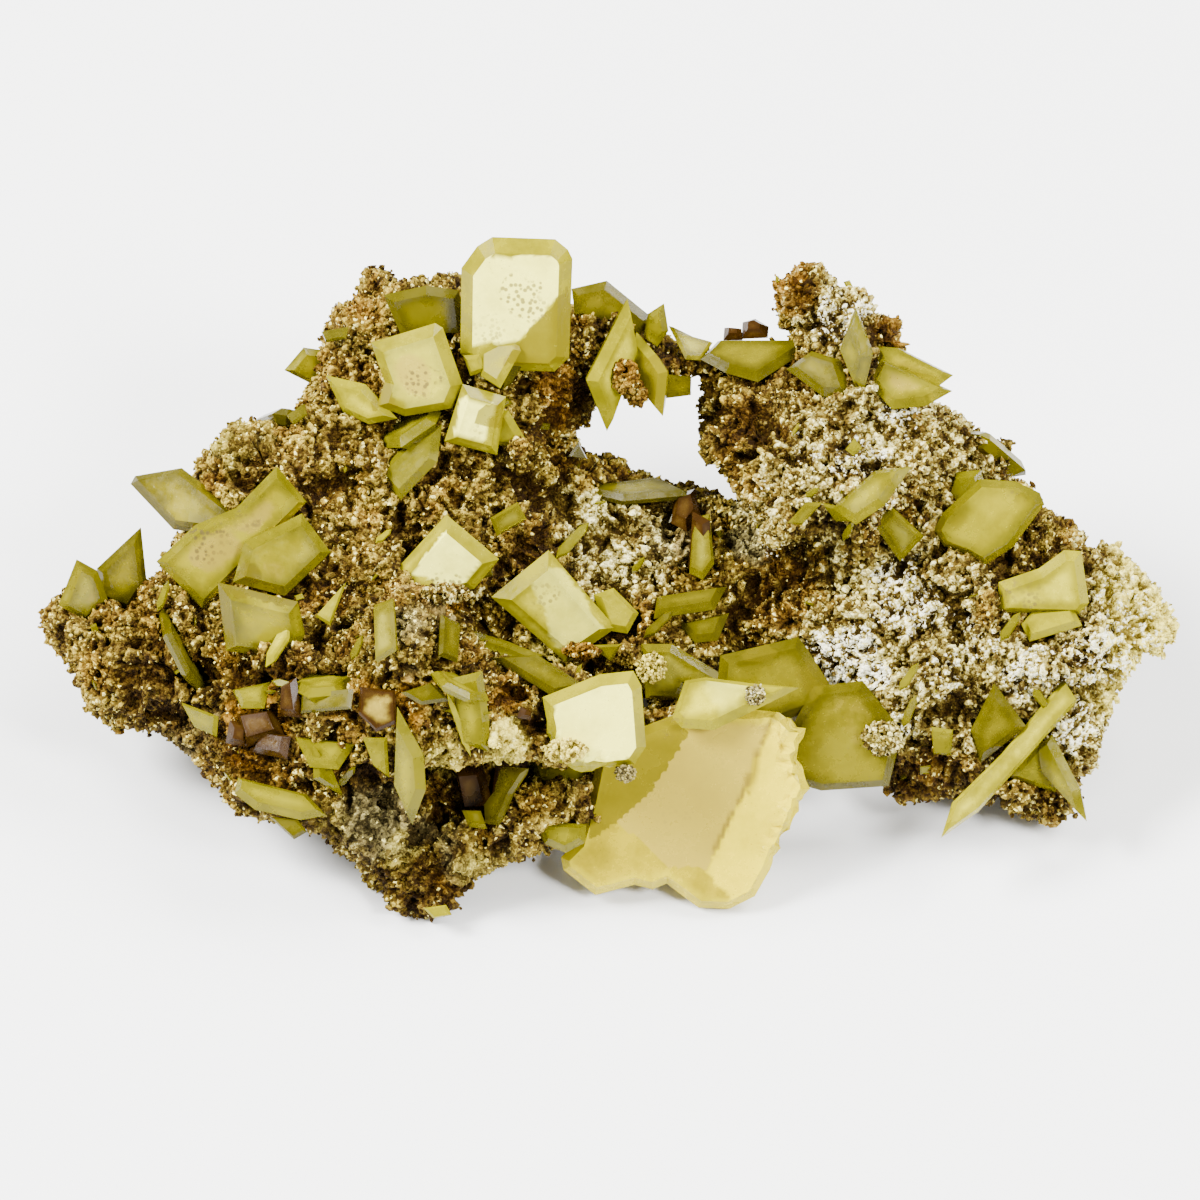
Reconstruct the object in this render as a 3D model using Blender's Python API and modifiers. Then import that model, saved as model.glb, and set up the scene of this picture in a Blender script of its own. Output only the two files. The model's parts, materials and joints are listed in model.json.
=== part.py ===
"""Wulfenite: a crusted plate of brown limonite rock with a window through it, overgrown with
flat, square, yellow crystals. It rests on the broken underside of the rock.

Places are written the way the specimen is looked at, from in front and above, in millimetres:
(across, up) is where a point is seen, and height is how far it is above the surface that the
specimen stands on. The blend file itself is in metres, with +Z up.
"""

import math

import bmesh
import bpy
import numpy as np
from mathutils import Matrix, Vector
from mathutils.bvhtree import BVHTree

MM = 0.001
LOOK_DOWN_DEG = 45.0
SIN = math.sin(math.radians(LOOK_DOWN_DEG))
COS = math.cos(math.radians(LOOK_DOWN_DEG))
# The sheet that the specimen is seen on: its right, its up, and the way towards the eye.
RIGHT = Vector((1.0, 0.0, 0.0))
UP = Vector((0.0, SIN, COS))
TOWARD = Vector((0.0, -COS, SIN))

LUMP_STEP = 2.3
LUMP_RADIUS = 2.3
LUMP_SWELL = 0.7
EDGE_ROUND = 3.6
ROCK_VOXEL = 0.75
ROCK_TRIANGLES = 3700
SEED = 7

# Each mass of the rock: its outline (across, up), the heights of its upper surface as
# (across, up, height), and how thick it is along the line of sight.
MASSES = {
    "left_arm": (
        [
            (-49.9, 27.2), (-49.2, 28.3), (-47.2, 28.4), (-44.5, 30.0), (-41.0, 29.8), (-38.0, 30.8),
            (-34.0, 31.0), (-31.0, 27.0), (-31.0, 20.0), (-34.5, 16.0), (-36.9, 16.3), (-38.4, 16.9),
            (-40.3, 16.9), (-42.5, 17.1), (-44.6, 18.2), (-45.3, 20.5), (-47.0, 23.3), (-49.2, 25.7),
        ],
        [(-49, 27, 16), (-44, 29, 18), (-44, 22, 14), (-42, 17.5, 10.5), (-36, 30, 20), (-36, 23, 16.5), (-35, 17, 11)],
        9.0,
    ),
    "left_slope": (
        [
            (-38.2, 30.4), (-37.0, 33.5), (-36.3, 36.5), (-35.3, 39.6), (-34.6, 41.0), (-32.9, 42.4),
            (-32.6, 43.5), (-29.4, 44.0), (-28.8, 45.0), (-27.0, 44.3), (-26.1, 45.4), (-25.4, 48.0),
            (-25.6, 49.5), (-24.4, 50.9), (-24.0, 53.2), (-21.9, 54.2), (-21.0, 55.6), (-20.4, 57.6),
            (-19.3, 57.3), (-18.6, 56.1), (-15.0, 56.2), (-12.4, 57.2), (-8.0, 56.5), (-3.0, 54.6),
            (1.5, 54.2), (3.5, 53.0), (6.2, 50.5), (7.6, 48.2), (5.8, 47.8), (4.2, 47.6), (3.4, 45.9),
            (2.2, 45.7), (1.2, 46.5), (0.2, 47.5), (-0.9, 46.0), (-0.9, 44.9), (-2.1, 43.6), (-3.1, 43.0),
            (-2.6, 42.0), (-1.0, 40.6), (0.4, 41.4), (2.4, 40.2), (4.8, 39.1), (6.4, 38.2), (7.4, 38.9),
            (8.7, 38.1), (10.6, 38.6), (12.0, 35.0), (13.0, 30.0), (14.0, 26.0), (12.0, 22.0), (8.0, 20.0),
            (2.0, 21.0), (-4.0, 22.0), (-10.0, 24.0), (-16.0, 24.0), (-22.0, 22.0), (-28.0, 21.0),
            (-33.0, 22.0), (-37.0, 27.0),
        ],
        [
            (-37, 34, 22), (-34, 41, 26), (-28, 44, 28), (-25, 50, 31), (-21, 56, 35), (-13, 56, 35),
            (-8, 50, 33), (-3, 53, 33), (3, 52, 32.5), (6, 49, 30.5), (2.5, 47, 29.5), (-1, 45, 27),
            (-6, 45, 29), (-14, 46, 30), (-20, 45, 28.5), (-10, 40, 25), (-2, 42, 23.5), (-28, 38, 25),
            (-20, 38, 24.5), (-26, 30, 21), (-20, 30, 20.5), (-14, 33, 20.5), (-10, 34, 21), (-5, 37, 21),
            (2, 39, 20), (8, 37.5, 19.5), (0, 33, 18), (6, 33, 17.5), (10, 33, 17.5), (-6, 28, 16.5),
            (2, 27, 15.5), (8, 27, 15.5), (12, 27, 15.5), (4, 22, 13.5), (-18, 25, 20), (-28, 24, 18),
        ],
        12.0,
    ),
    "front_ridge": (
        [
            (-36.5, 19.5), (-33.0, 24.0), (-28.0, 25.0), (-22.0, 25.0), (-20.0, 28.0), (-18.0, 30.0),
            (-15.5, 30.3), (-13.5, 29.5), (-12.5, 27.0), (-11.0, 25.0), (-6.0, 23.0), (-1.0, 22.5),
            (2.0, 21.0), (2.5, 17.0), (-1.0, 14.4), (-6.0, 14.2), (-9.0, 14.5), (-12.0, 13.7), (-15.0, 13.5),
            (-17.0, 12.0), (-20.0, 11.5), (-24.0, 9.7), (-26.0, 8.4), (-29.0, 9.6), (-31.5, 10.2),
            (-33.0, 12.2), (-35.8, 14.2), (-36.8, 16.3),
        ],
        [
            (-36, 17, 11.5), (-34, 13.5, 11), (-30, 11, 10.5), (-26, 10, 10.5), (-33, 22, 17), (-28, 20, 17.5),
            (-24, 24, 20), (-18, 28.5, 26), (-15, 29, 26.5), (-16, 24, 25), (-13, 26, 24), (-22, 18, 18.5),
            (-18, 17, 19), (-12, 20, 21), (-10, 16, 18.5), (-8, 22, 20.5), (-4, 21, 19), (-3, 16, 16.5),
            (1, 20, 15.5), (-20, 13, 14), (-16, 14, 15.5),
        ],
        8.5,
    ),
    "front_lip": (
        [
            (-33.0, 13.0), (-30.0, 14.0), (-24.0, 13.5), (-19.0, 12.8), (-16.0, 11.0), (-15.0, 9.5),
            (-15.3, 7.5), (-17.0, 6.3), (-19.5, 5.9), (-22.0, 6.4), (-25.5, 7.9), (-29.0, 9.4), (-31.8, 10.2),
        ],
        [(-31, 11, 11), (-26, 9.5, 10.5), (-22, 7.5, 9), (-18, 8, 9.5), (-22, 11, 12)],
        8.0,
    ),
    "foot": (
        [
            (-22.2, 6.8), (-22.0, 5.2), (-20.3, 3.9), (-18.6, 2.0), (-16.5, 0.2), (-14.9, -0.2), (-12.9, 0.4),
            (-11.6, 2.4), (-11.0, 4.5), (-11.5, 7.5), (-15.0, 9.0), (-19.0, 8.5),
        ],
        [(-20, 5.5, 5.5), (-15, 1, 2.2), (-13, 3, 3.6), (-16, 6, 6)],
        8.0,
    ),
    "front_lump": (
        [
            (-15.5, 5.5), (-14.8, 8.5), (-13.0, 9.5), (-10.0, 9.2), (-8.0, 9.0), (-6.0, 9.8), (-4.8, 8.5),
            (-4.9, 7.4), (-6.4, 6.3), (-7.0, 5.0), (-8.5, 4.1), (-10.2, 4.4), (-12.5, 4.3),
        ],
        [(-13, 7, 7.8), (-10, 6, 6.8), (-7, 6, 6.8), (-6, 9, 8.8)],
        8.0,
    ),
    "under_step": (
        [
            (-9.0, 7.0), (-9.0, 11.0), (-6.0, 12.9), (-2.0, 12.9), (0.9, 12.2), (0.6, 9.2), (-1.5, 8.0),
            (-4.5, 6.9), (-6.0, 5.9),
        ],
        [(-6, 10, 9.5), (-1, 10.5, 9.5), (-5, 7.5, 7.8)],
        8.0,
    ),
    "right_floor": (
        [
            (10.5, 38.0), (13.0, 36.0), (16.0, 34.0), (22.0, 33.0), (24.0, 36.0), (30.0, 37.0), (36.6, 39.5),
            (38.8, 36.1), (40.2, 35.9), (41.4, 35.4), (40.4, 34.2), (43.0, 33.9), (43.4, 32.9), (45.5, 32.9),
            (47.2, 32.2), (48.6, 30.0), (50.0, 27.2), (50.2, 25.6), (49.0, 23.6), (46.4, 22.1), (45.4, 21.5),
            (46.0, 20.3), (44.8, 18.7), (43.5, 16.2), (43.4, 13.8), (42.2, 11.4), (40.6, 9.3), (39.2, 8.5),
            (36.6, 9.6), (34.6, 10.0), (33.0, 10.9), (30.6, 11.4), (28.6, 10.1), (27.0, 10.2), (25.0, 11.7),
            (23.5, 14.0), (22.0, 17.5), (22.5, 19.8), (18.8, 20.2), (16.5, 23.6), (13.0, 23.6), (11.0, 25.0),
            (9.0, 28.0), (8.5, 32.0),
        ],
        [
            (12, 34, 17.5), (12, 28, 15.5), (17, 31, 17), (22, 30, 18), (18, 26, 16), (24, 26, 17.5),
            (24, 20, 13), (28, 23, 16), (30, 32, 21), (35, 36, 22.5), (36, 29, 18.5), (40, 34, 20),
            (45, 31, 18), (49.5, 26, 14.5), (43, 25, 16), (36, 22, 14.5), (45, 21, 12.5), (42, 16, 9.5),
            (30, 16, 10.5), (27, 12, 7), (38, 10, 4.5), (34, 12, 6.5), (24, 15, 9),
        ],
        7.5,
    ),
    "right_ledge": (
        [
            (7.9, 46.4), (8.2, 48.6), (10.0, 49.6), (16.0, 50.2), (20.0, 51.5), (25.0, 50.0), (27.0, 47.5),
            (29.2, 45.4), (31.6, 45.2), (33.4, 43.6), (35.6, 43.6), (36.6, 42.2), (37.0, 41.0), (36.7, 39.0),
            (33.0, 38.5), (30.5, 36.5), (26.5, 36.3), (25.5, 34.0), (23.6, 32.0), (21.4, 32.5), (19.5, 33.8),
            (17.6, 34.2), (15.8, 33.0), (13.8, 31.9), (12.7, 32.3), (13.5, 34.8), (12.0, 37.5), (11.4, 38.4),
            (10.3, 38.9), (8.6, 40.8), (8.0, 41.8), (6.8, 42.9), (7.3, 44.3), (8.4, 45.0),
        ],
        [
            (8, 43, 26), (10, 47, 27.5), (16, 48, 29.5), (14, 42, 28), (20, 44, 30), (26, 44, 29), (31, 43, 27),
            (36, 41, 24.5), (30, 38.5, 25.5), (24, 38, 27), (18, 38, 27), (15, 35, 25), (13.5, 32.5, 23.5),
            (23, 33.5, 23.5), (26, 35, 23),
        ],
        8.5,
    ),
    "knob": (
        [
            (15.1, 55.1), (15.5, 56.7), (16.2, 57.3), (17.5, 57.6), (19.0, 58.1), (20.4, 57.1), (22.1, 56.1),
            (23.6, 54.8), (24.4, 53.4), (27.7, 52.9), (27.4, 51.9), (27.0, 51.4), (27.4, 50.1), (26.0, 49.0),
            (23.0, 46.0), (18.5, 46.5), (17.6, 50.2), (16.4, 51.5), (15.9, 53.2),
        ],
        [(17, 56, 35.5), (20, 57, 36), (20, 52, 34), (18, 50.5, 32.5), (23, 53, 33), (26.5, 52, 31.5), (22, 49, 31)],
        8.0,
    ),
    "keel": (
        [
            (-19.5, 11.0), (-17.0, 13.5), (-11.0, 15.5), (-2.0, 17.0), (6.0, 20.0), (10.0, 20.0), (9.0, 15.5), (4.0, 13.0),
            (0.0, 11.8), (-6.0, 11.8), (-9.0, 9.0), (-15.0, 7.5), (-19.0, 7.5),
        ],
        [(-12, 12, 8.0), (-2, 14, 8.0), (6, 16, 9.0)],
        11.0,
    ),
    "back_bridge": (
        [
            (3.5, 50.0), (5.0, 51.6), (8.0, 51.3), (10.0, 51.0), (18.0, 51.0), (19.0, 49.0), (18.0, 47.8),
            (12.0, 47.8), (8.3, 47.0), (6.8, 47.9), (5.0, 48.2),
        ],
        [(5, 50, 31), (10, 50, 30), (17, 50, 31)],
        6.0,
    ),
}

# Each flat crystal seen more or less from its face. Outline (across, up); the root, which is where
# its middle plane meets the rock; how far it is lifted off the rock there, or its height above the
# ground where there is no rock; how much nearer to the eye it gets per millimetre across and up;
# its thickness; and how wide the bevel round its face is.
PLATES = {
    "left_rear_plate": ([(-41.1, 38.6), (-40.7, 39.3), (-36.6, 40.0), (-31.7, 36.2), (-32.5, 34.0), (-37.3, 34.6)],
                        (-34.5, 36.6), 0.2, (0.25, -0.3), 1.3, 0.7),
    "left_large_plate": ([(-38.7, 31.8), (-34.7, 27.7), (-25.6, 37.0), (-28.2, 40.1), (-31.7, 36.5), (-35.3, 35.0)],
                         (-29.5, 33.8), 1.9, (-0.12, 0.1), 1.6, 0.9),
    "left_low_plate": ([(-26.0, 36.0), (-23.5, 32.6), (-27.5, 28.8), (-32.0, 30.0), (-31.0, 33.5)],
                       (-26.5, 31.5), 0.5, (-0.25, 0.1), 1.3, 0.8),
    "left_dark_edged_plate": ([(-33.3, 30.0), (-26.3, 28.3), (-25.7, 25.4), (-27.0, 23.2), (-32.6, 24.0)],
                              (-29.0, 25.2), 0.9, (-0.05, 0.45), 1.6, 1.0),
    "arm_triangle_plate": ([(-44.0, 31.2), (-40.1, 34.8), (-39.6, 29.8), (-41.0, 27.6), (-43.6, 28.6)],
                           (-41.6, 29.0), 0.3, (0.2, 0.4), 1.1, 0.6),
    "arm_pale_plate": ([(-45.7, 32.0), (-43.9, 31.0), (-43.0, 28.4), (-45.0, 26.6), (-47.3, 28.0)],
                       (-45.0, 28.0), 0.3, (-0.3, 0.5), 1.1, 0.6),
    "lip_lens_plate": ([(-31.8, 11.6), (-31.5, 13.0), (-25.5, 11.5), (-23.8, 9.7), (-26.0, 9.3), (-30.0, 10.2)],
                       (-28.0, 11.6), 0.9, (0.0, -0.5), 1.3, 0.5),
    "ridge_low_plate": ([(-26.5, 16.5), (-21.2, 16.0), (-22.7, 13.7), (-25.2, 13.9)],
                        (-24.0, 15.0), 0.6, (0.1, -0.7), 1.0, 0.5),
    "ridge_leaf_plate": ([(-24.9, 15.8), (-23.6, 14.5), (-22.4, 11.4), (-24.9, 12.9)],
                         (-24.2, 13.9), 1.0, (-0.8, 0.1), 0.9, 0.4),
    "ridge_left_plate": ([(-32.0, 20.6), (-28.7, 21.3), (-29.2, 19.0), (-31.2, 19.0)],
                         (-30.4, 20.1), 0.7, (0.2, -0.6), 0.9, 0.5),
    "brown_crystal_left": ([(-31.6, 18.4), (-28.4, 18.9), (-27.4, 16.6), (-30.8, 15.6)],
                           (-29.5, 17.4), 0.6, (0.25, -0.3), 2.4, 0.5),
    "top_plate": ([(-12.1, 57.4), (-10.7, 59.3), (-9.4, 60.1), (-3.9, 59.9), (-2.8, 59.0), (-2.4, 58.2),
                   (-2.7, 49.6), (-4.0, 48.4), (-11.0, 48.6), (-12.2, 50.0)],
                  (-7.3, 51.2), 1.3, (0.06, 0.35), 2.2, 1.1),
    "top_rear_plate": ([(-18.9, 55.1), (-15.2, 55.9), (-12.3, 55.5), (-11.8, 51.5), (-17.4, 51.6)],
                       (-15.0, 53.0), 0.4, (-0.1, 0.5), 1.2, 0.6),
    "upper_square_plate": ([(-20.0, 50.9), (-14.4, 52.6), (-13.7, 52.2), (-12.0, 47.3), (-12.9, 45.2),
                            (-17.0, 44.5), (-19.5, 45.4), (-18.8, 47.5)],
                           (-15.8, 47.0), 1.6, (0.12, 0.3), 1.8, 0.9),
    "upper_leaf_plate": ([(-24.0, 48.1), (-20.5, 47.3), (-17.7, 44.3), (-20.2, 43.8), (-22.5, 44.9)],
                         (-20.9, 45.4), 0.5, (0.3, 0.2), 1.1, 0.6),
    "upper_notched_plate": ([(-12.0, 47.3), (-8.2, 46.2), (-9.0, 41.1), (-13.6, 42.3)],
                            (-11.0, 43.6), 1.8, (-0.15, 0.25), 1.6, 0.8),
    "upper_corner_plate": ([(-11.0, 45.2), (-8.0, 45.0), (-6.5, 42.5), (-7.0, 41.8), (-9.0, 42.0), (-11.0, 42.4)],
                           (-9.0, 43.2), 0.7, (0.3, 0.3), 1.1, 0.5),
    "upper_lower_plate": ([(-19.5, 39.5), (-17.4, 37.2), (-14.2, 40.5), (-13.8, 43.8), (-16.4, 42.6)],
                          (-16.3, 40.4), 0.8, (0.35, -0.1), 1.2, 0.7),
    "rim_plate": ([(-27.7, 48.6), (-26.0, 50.6), (-24.6, 50.4), (-23.9, 48.6), (-25.3, 47.4)],
                  (-25.0, 48.9), 0.4, (-0.3, 0.4), 1.0, 0.5),
    "top_foot_plate": ([(-10.4, 50.8), (-7.2, 51.0), (-6.9, 50.2), (-8.7, 46.9), (-10.4, 48.0)],
                       (-8.8, 49.0), 1.9, (0.4, -0.3), 1.1, 0.5),
    "bridge_rear_plate": ([(-2.5, 55.7), (0.6, 56.4), (4.9, 52.9), (3.3, 51.6), (0.0, 52.6), (-2.2, 53.4)],
                          (1.0, 53.6), 0.3, (0.1, 0.3), 1.2, 0.6),
    "window_left_lozenge": ([(2.4, 54.8), (-1.2, 47.6), (0.6, 43.2), (3.2, 50.5)],
                            (2.0, 50.6), 0.6, (-1.1, 0.35), 1.5, 0.6),
    "window_right_lozenge": ([(3.2, 51.9), (5.0, 49.8), (5.9, 48.4), (5.5, 44.5), (3.9, 46.5), (2.9, 49.4)],
                             (4.2, 49.2), 0.6, (1.1, 0.2), 1.3, 0.5),
    "bridge_tip_plate": ([(4.2, 53.5), (5.6, 54.4), (6.0, 52.0), (5.0, 50.6), (3.8, 51.4)],
                         (4.2, 51.0), 0.3, (0.4, 0.5), 1.0, 0.4),
    "bridge_plate": ([(8.8, 49.5), (10.3, 51.1), (17.6, 51.1), (18.0, 50.2), (13.8, 47.5), (11.0, 48.3)],
                     (13.2, 49.6), 0.6, (0.0, -1.1), 1.3, 0.6),
    "knob_left_plate": ([(16.3, 48.6), (18.5, 50.2), (21.0, 49.4), (22.0, 46.2), (19.5, 46.2)],
                        (19.6, 48.2), 0.8, (0.25, -0.4), 1.3, 0.7),
    "knob_lozenge": ([(22.3, 54.0), (21.0, 50.5), (22.9, 46.0), (23.8, 49.8)],
                     (22.4, 49.8), 1.8, (0.9, 0.3), 1.8, 0.7),
    "knob_right_plate": ([(23.5, 47.3), (24.6, 49.5), (30.8, 46.7), (28.5, 45.4), (25.5, 45.1)],
                         (26.0, 46.9), 0.6, (0.0, -0.6), 1.3, 0.6),
    "knob_rear_plate": ([(23.6, 50.8), (26.2, 50.5), (30.9, 48.1), (29.7, 47.2), (25.0, 48.2)],
                        (25.6, 49.3), 0.5, (0.1, -0.8), 1.1, 0.5),
    "valley_blade_plate": ([(-1.8, 38.0), (4.9, 38.9), (7.7, 37.6), (2.0, 37.1)],
                           (3.0, 37.9), 0.9, (0.0, -2.2), 1.0, 0.3),
    "brown_blade_middle": ([(7.7, 30.8), (9.9, 31.2), (9.6, 35.4), (8.1, 36.2)],
                           (8.8, 32.8), 0.8, (0.7, 0.2), 1.2, 0.4),
    "brown_crystal_middle": ([(6.0, 35.2), (7.6, 35.0), (8.6, 37.6), (7.2, 38.1)],
                             (7.2, 36.4), 0.6, (-0.5, 0.2), 1.1, 0.4),
    "centre_bright_plate": ([(-17.9, 31.0), (-13.4, 35.9), (-8.8, 32.0), (-11.0, 29.4), (-16.6, 28.6)],
                            (-13.0, 30.2), 1.1, (0.1, 0.4), 1.7, 1.0),
    "centre_square_plate": ([(-4.5, 32.8), (-9.5, 28.7), (-3.0, 23.0), (1.4, 26.0)],
                            (-3.0, 26.2), 1.4, (-0.15, 0.3), 1.9, 1.1),
    "centre_side_plate": ([(-0.6, 28.9), (1.2, 29.5), (3.4, 27.3), (2.4, 25.5), (0.6, 25.8)],
                          (1.8, 27.2), 0.4, (-0.2, -0.2), 1.1, 0.5),
    "valley_dark_plate": ([(5.0, 28.7), (11.1, 29.6), (10.0, 27.6), (4.7, 26.8)],
                          (8.0, 28.2), 0.8, (0.1, -0.9), 1.2, 0.5),
    "valley_dark_lower_plate": ([(6.8, 26.4), (11.3, 27.3), (10.3, 24.9), (8.3, 24.7)],
                                (9.2, 25.9), 0.7, (0.2, -0.6), 1.1, 0.5),
    "middle_fan_plate": ([(3.6, 24.6), (6.3, 24.6), (11.4, 21.5), (7.5, 21.0), (6.8, 19.7), (4.0, 19.8)],
                         (5.6, 22.2), 0.9, (0.05, 0.3), 1.4, 0.7),
    "ridge_crest_plate": ([(-11.9, 23.6), (-11.6, 25.9), (-8.0, 24.8), (-5.0, 23.6), (-8.0, 22.4)],
                          (-9.4, 23.8), 0.6, (0.1, 0.3), 1.1, 0.5),
    "ridge_leaf_long": ([(-9.5, 23.4), (-5.5, 23.7), (-0.7, 20.6), (-4.0, 20.0)],
                        (-4.6, 21.8), 1.0, (0.2, -0.5), 1.3, 0.6),
    "pale_shield_plate": ([(0.0, 22.0), (2.9, 22.3), (3.6, 21.0), (4.0, 15.7), (3.0, 14.2), (-1.5, 13.6),
                           (-4.0, 14.5), (-5.0, 20.0)],
                          (-2.2, 18.2), 1.9, (0.05, 0.3), 2.0, 0.8),
    "ridge_front_plate": ([(-13.5, 21.5), (-10.2, 22.3), (-9.6, 18.0), (-9.7, 15.3), (-12.0, 16.0)],
                          (-11.4, 18.6), 1.4, (0.1, 0.3), 1.3, 0.6),
    "front_tall_leaf": ([(-17.6, 19.2), (-15.3, 15.0), (-15.1, 12.0), (-16.3, 8.9), (-17.9, 12.5)],
                        (-16.5, 14.8), 1.6, (0.8, 0.3), 1.5, 0.6),
    "brown_crystal_cave": ([(-12.7, 13.8), (-10.2, 14.0), (-9.3, 10.4), (-12.0, 10.2)],
                           (-11.2, 11.3), 0.7, (0.2, 0.3), 2.2, 0.5),
    "cave_yellow_plate": ([(-9.2, 15.2), (-6.1, 15.0), (-7.7, 8.9), (-10.0, 9.0)],
                          (-7.6, 14.2), 1.0, (0.4, 0.1), 1.2, 0.5),
    "under_shield_plate": ([(-6.2, 14.4), (2.0, 14.6), (1.0, 12.0), (-5.3, 12.2)],
                           (-4.0, 13.0), 1.2, (0.0, -0.3), 1.1, 0.4),
    "step_plate": ([(-5.8, 9.2), (-1.2, 8.9), (-1.3, 7.3), (-3.0, 6.4), (-4.8, 7.2)],
                   (-3.6, 8.3), 0.6, (0.1, -0.2), 1.3, 0.5),
    "giant_plate": ([(-3.4, 6.0), (-3.2, 4.9), (-0.4, 2.7), (3.0, 3.6), (4.6, 3.2), (5.8, 3.7), (8.6, 1.6),
                     (11.3, 1.5), (13.5, 2.6), (14.8, 4.9), (16.2, 8.0), (18.2, 12.0), (17.1, 14.8),
                     (17.8, 17.0), (15.3, 18.8), (8.0, 19.0), (0.0, 16.0), (-1.0, 11.0), (-2.0, 7.4)],
                    (6.0, 14.0), 9.9, (0.02, 0.08), 2.2, 0.7),
    "giant_leaf_plate": ([(6.3, 18.2), (7.1, 17.3), (9.9, 17.1), (13.6, 18.9), (17.4, 20.8), (13.0, 21.2),
                          (9.2, 21.7), (7.4, 21.4)],
                         (9.0, 20.2), 15.4, (0.05, -0.45), 1.4, 0.6),
    "giant_rear_plate": ([(10.5, 23.6), (17.3, 25.2), (18.0, 24.3), (21.0, 19.6), (14.5, 17.4), (10.0, 19.0)],
                         (13.0, 22.6), 15.0, (0.0, 0.1), 1.5, 0.8),
    "grey_green_plate": ([(18.6, 20.9), (22.9, 21.4), (26.4, 17.0), (25.2, 12.2), (19.3, 11.8), (17.0, 12.5),
                          (15.5, 15.0)],
                         (22.8, 17.2), 11.2, (0.0, 0.15), 1.6, 0.7),
    "right_large_plate": ([(29.2, 34.6), (29.9, 36.0), (33.2, 39.0), (36.3, 38.8), (38.4, 37.8), (38.8, 36.8),
                           (36.0, 33.0), (33.6, 31.5), (32.1, 32.4), (30.0, 33.2)],
                          (34.2, 34.0), 1.2, (0.08, 0.1), 1.9, 0.6),
    "right_folded_plate": ([(33.3, 39.8), (31.1, 39.6), (30.5, 38.0), (32.0, 35.4), (33.8, 37.6)],
                           (32.2, 37.6), 1.7, (0.6, 0.2), 1.2, 0.5),
    "right_pale_plate": ([(23.9, 35.0), (25.5, 36.6), (28.3, 34.0), (26.2, 31.8)],
                         (26.2, 33.6), 0.9, (-0.2, 0.1), 1.1, 0.6),
    "right_spear_plate": ([(20.2, 36.4), (24.0, 39.7), (27.2, 40.1), (24.8, 36.7), (22.3, 35.0)],
                          (23.2, 37.4), 1.1, (0.3, -0.5), 1.2, 0.6),
    "right_square_plate": ([(34.8, 27.4), (34.8, 30.0), (38.3, 31.2), (40.5, 32.8), (42.0, 32.7), (42.7, 28.2),
                            (41.9, 27.2)],
                           (39.0, 28.8), 1.2, (0.05, 0.35), 1.7, 0.8),
    "right_square_foot": ([(36.8, 26.3), (37.7, 27.4), (41.3, 27.8), (42.1, 26.2), (37.5, 24.8)],
                          (39.4, 26.6), 0.5, (0.1, -0.3), 1.2, 0.5),
    "right_long_blade": ([(29.7, 7.7), (33.0, 10.0), (41.7, 19.6), (40.5, 21.5), (35.0, 15.0), (30.7, 10.8)],
                         (36.8, 15.6), 2.6, (-0.25, -0.2), 1.7, 0.6),
    "right_cross_plate": ([(34.4, 21.2), (32.3, 17.0), (33.2, 14.2), (37.2, 17.4)],
                          (34.6, 17.6), 1.0, (0.1, 0.2), 1.3, 0.6),
    "right_corner_leaf": ([(38.2, 15.7), (39.5, 16.7), (41.9, 12.0), (42.5, 9.1), (38.6, 13.4)],
                          (39.9, 13.2), 1.2, (0.7, 0.3), 1.4, 0.5),
    "right_olive_plate": ([(38.2, 16.0), (35.6, 13.0), (39.8, 11.6), (40.4, 14.0)],
                          (37.9, 13.6), 0.2, (0.0, 0.3), 1.1, 0.5),
}

# Thin blades seen on their edge: the two tips (across, up), thickness, depth, lean and lift.
BLADES = {
    "arm_blade": ((-38.3, 27.7), (-34.5, 20.0), 0.9, 4.0, 8.0, 0.9),
    "ridge_blade": ((-26.9, 20.7), (-21.1, 21.2), 1.3, 3.6, 14.0, 0.8),
    "upper_blade": ((-19.7, 41.7), (-13.3, 46.1), 1.4, 4.6, 16.0, 1.2),
    "ridge_front_blade": ((-14.7, 22.1), (-9.6, 19.7), 0.9, 3.4, 10.0, 2.6),
}

# Crystals on the side away from the eye: (x, z) of the root, side length, turn and lean in degrees.
REAR = {
    "rear_left_plate": ((-26.0, 20.0), 8.5, 20.0, 38.0),
    "rear_middle_plate": ((-13.0, 22.0), 10.0, -35.0, 42.0),
    "rear_low_plate": ((-20.0, 9.0), 7.0, 60.0, -35.0),
    "rear_right_plate": ((24.0, 16.0), 9.0, 10.0, -40.0),
    "rear_corner_plate": ((33.0, 21.0), 6.5, 50.0, 36.0),
}

SOCKET_GAP = 0.3
# The straight way through the window: its corners in x, y, z.
WINDOW_WAY = ((4.8, 20.0, 21.0), (9.2, 60.0, 26.0))
REAR_THICK = 1.5
REAR_BEVEL = 0.8

# The body under the crust, down to the surface that it stands on: (x, y, z, radius).
CORE = [
    (-24, 20, 7, 8), (-25, 30, 9, 9), (-14, 20, 7, 8), (-14, 30, 9, 9), (-31, 27, 10, 6.5), (-6, 26, 8, 7.5),
    (-18, 40, 14, 9), (-12, 41, 17, 8), (-18, 44, 8, 9), (-22, 36, 16, 8), (-16, 47, 22, 7), (3, 28, 8, 7),
    (10, 29, 8, 6.5), (16, 33, 11, 7), (22, 30, 13, 8), (21, 36, 18, 8), (24, 38, 7, 8), (31, 27, 10, 7),
    (30, 20, 5, 6), (38, 24, 9, 5.5), (28, 34, 15, 7), (19, 41, 22, 6),
]


def seen(across, up, toward):
    """The place, in millimetres, that is seen at (across, up), this far towards the eye."""
    return RIGHT * across + UP * up + TOWARD * toward


def toward_at(up, height):
    """How far towards the eye a point lies that is seen this far up and stands at this height."""
    return (height - up * COS) / SIN


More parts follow.
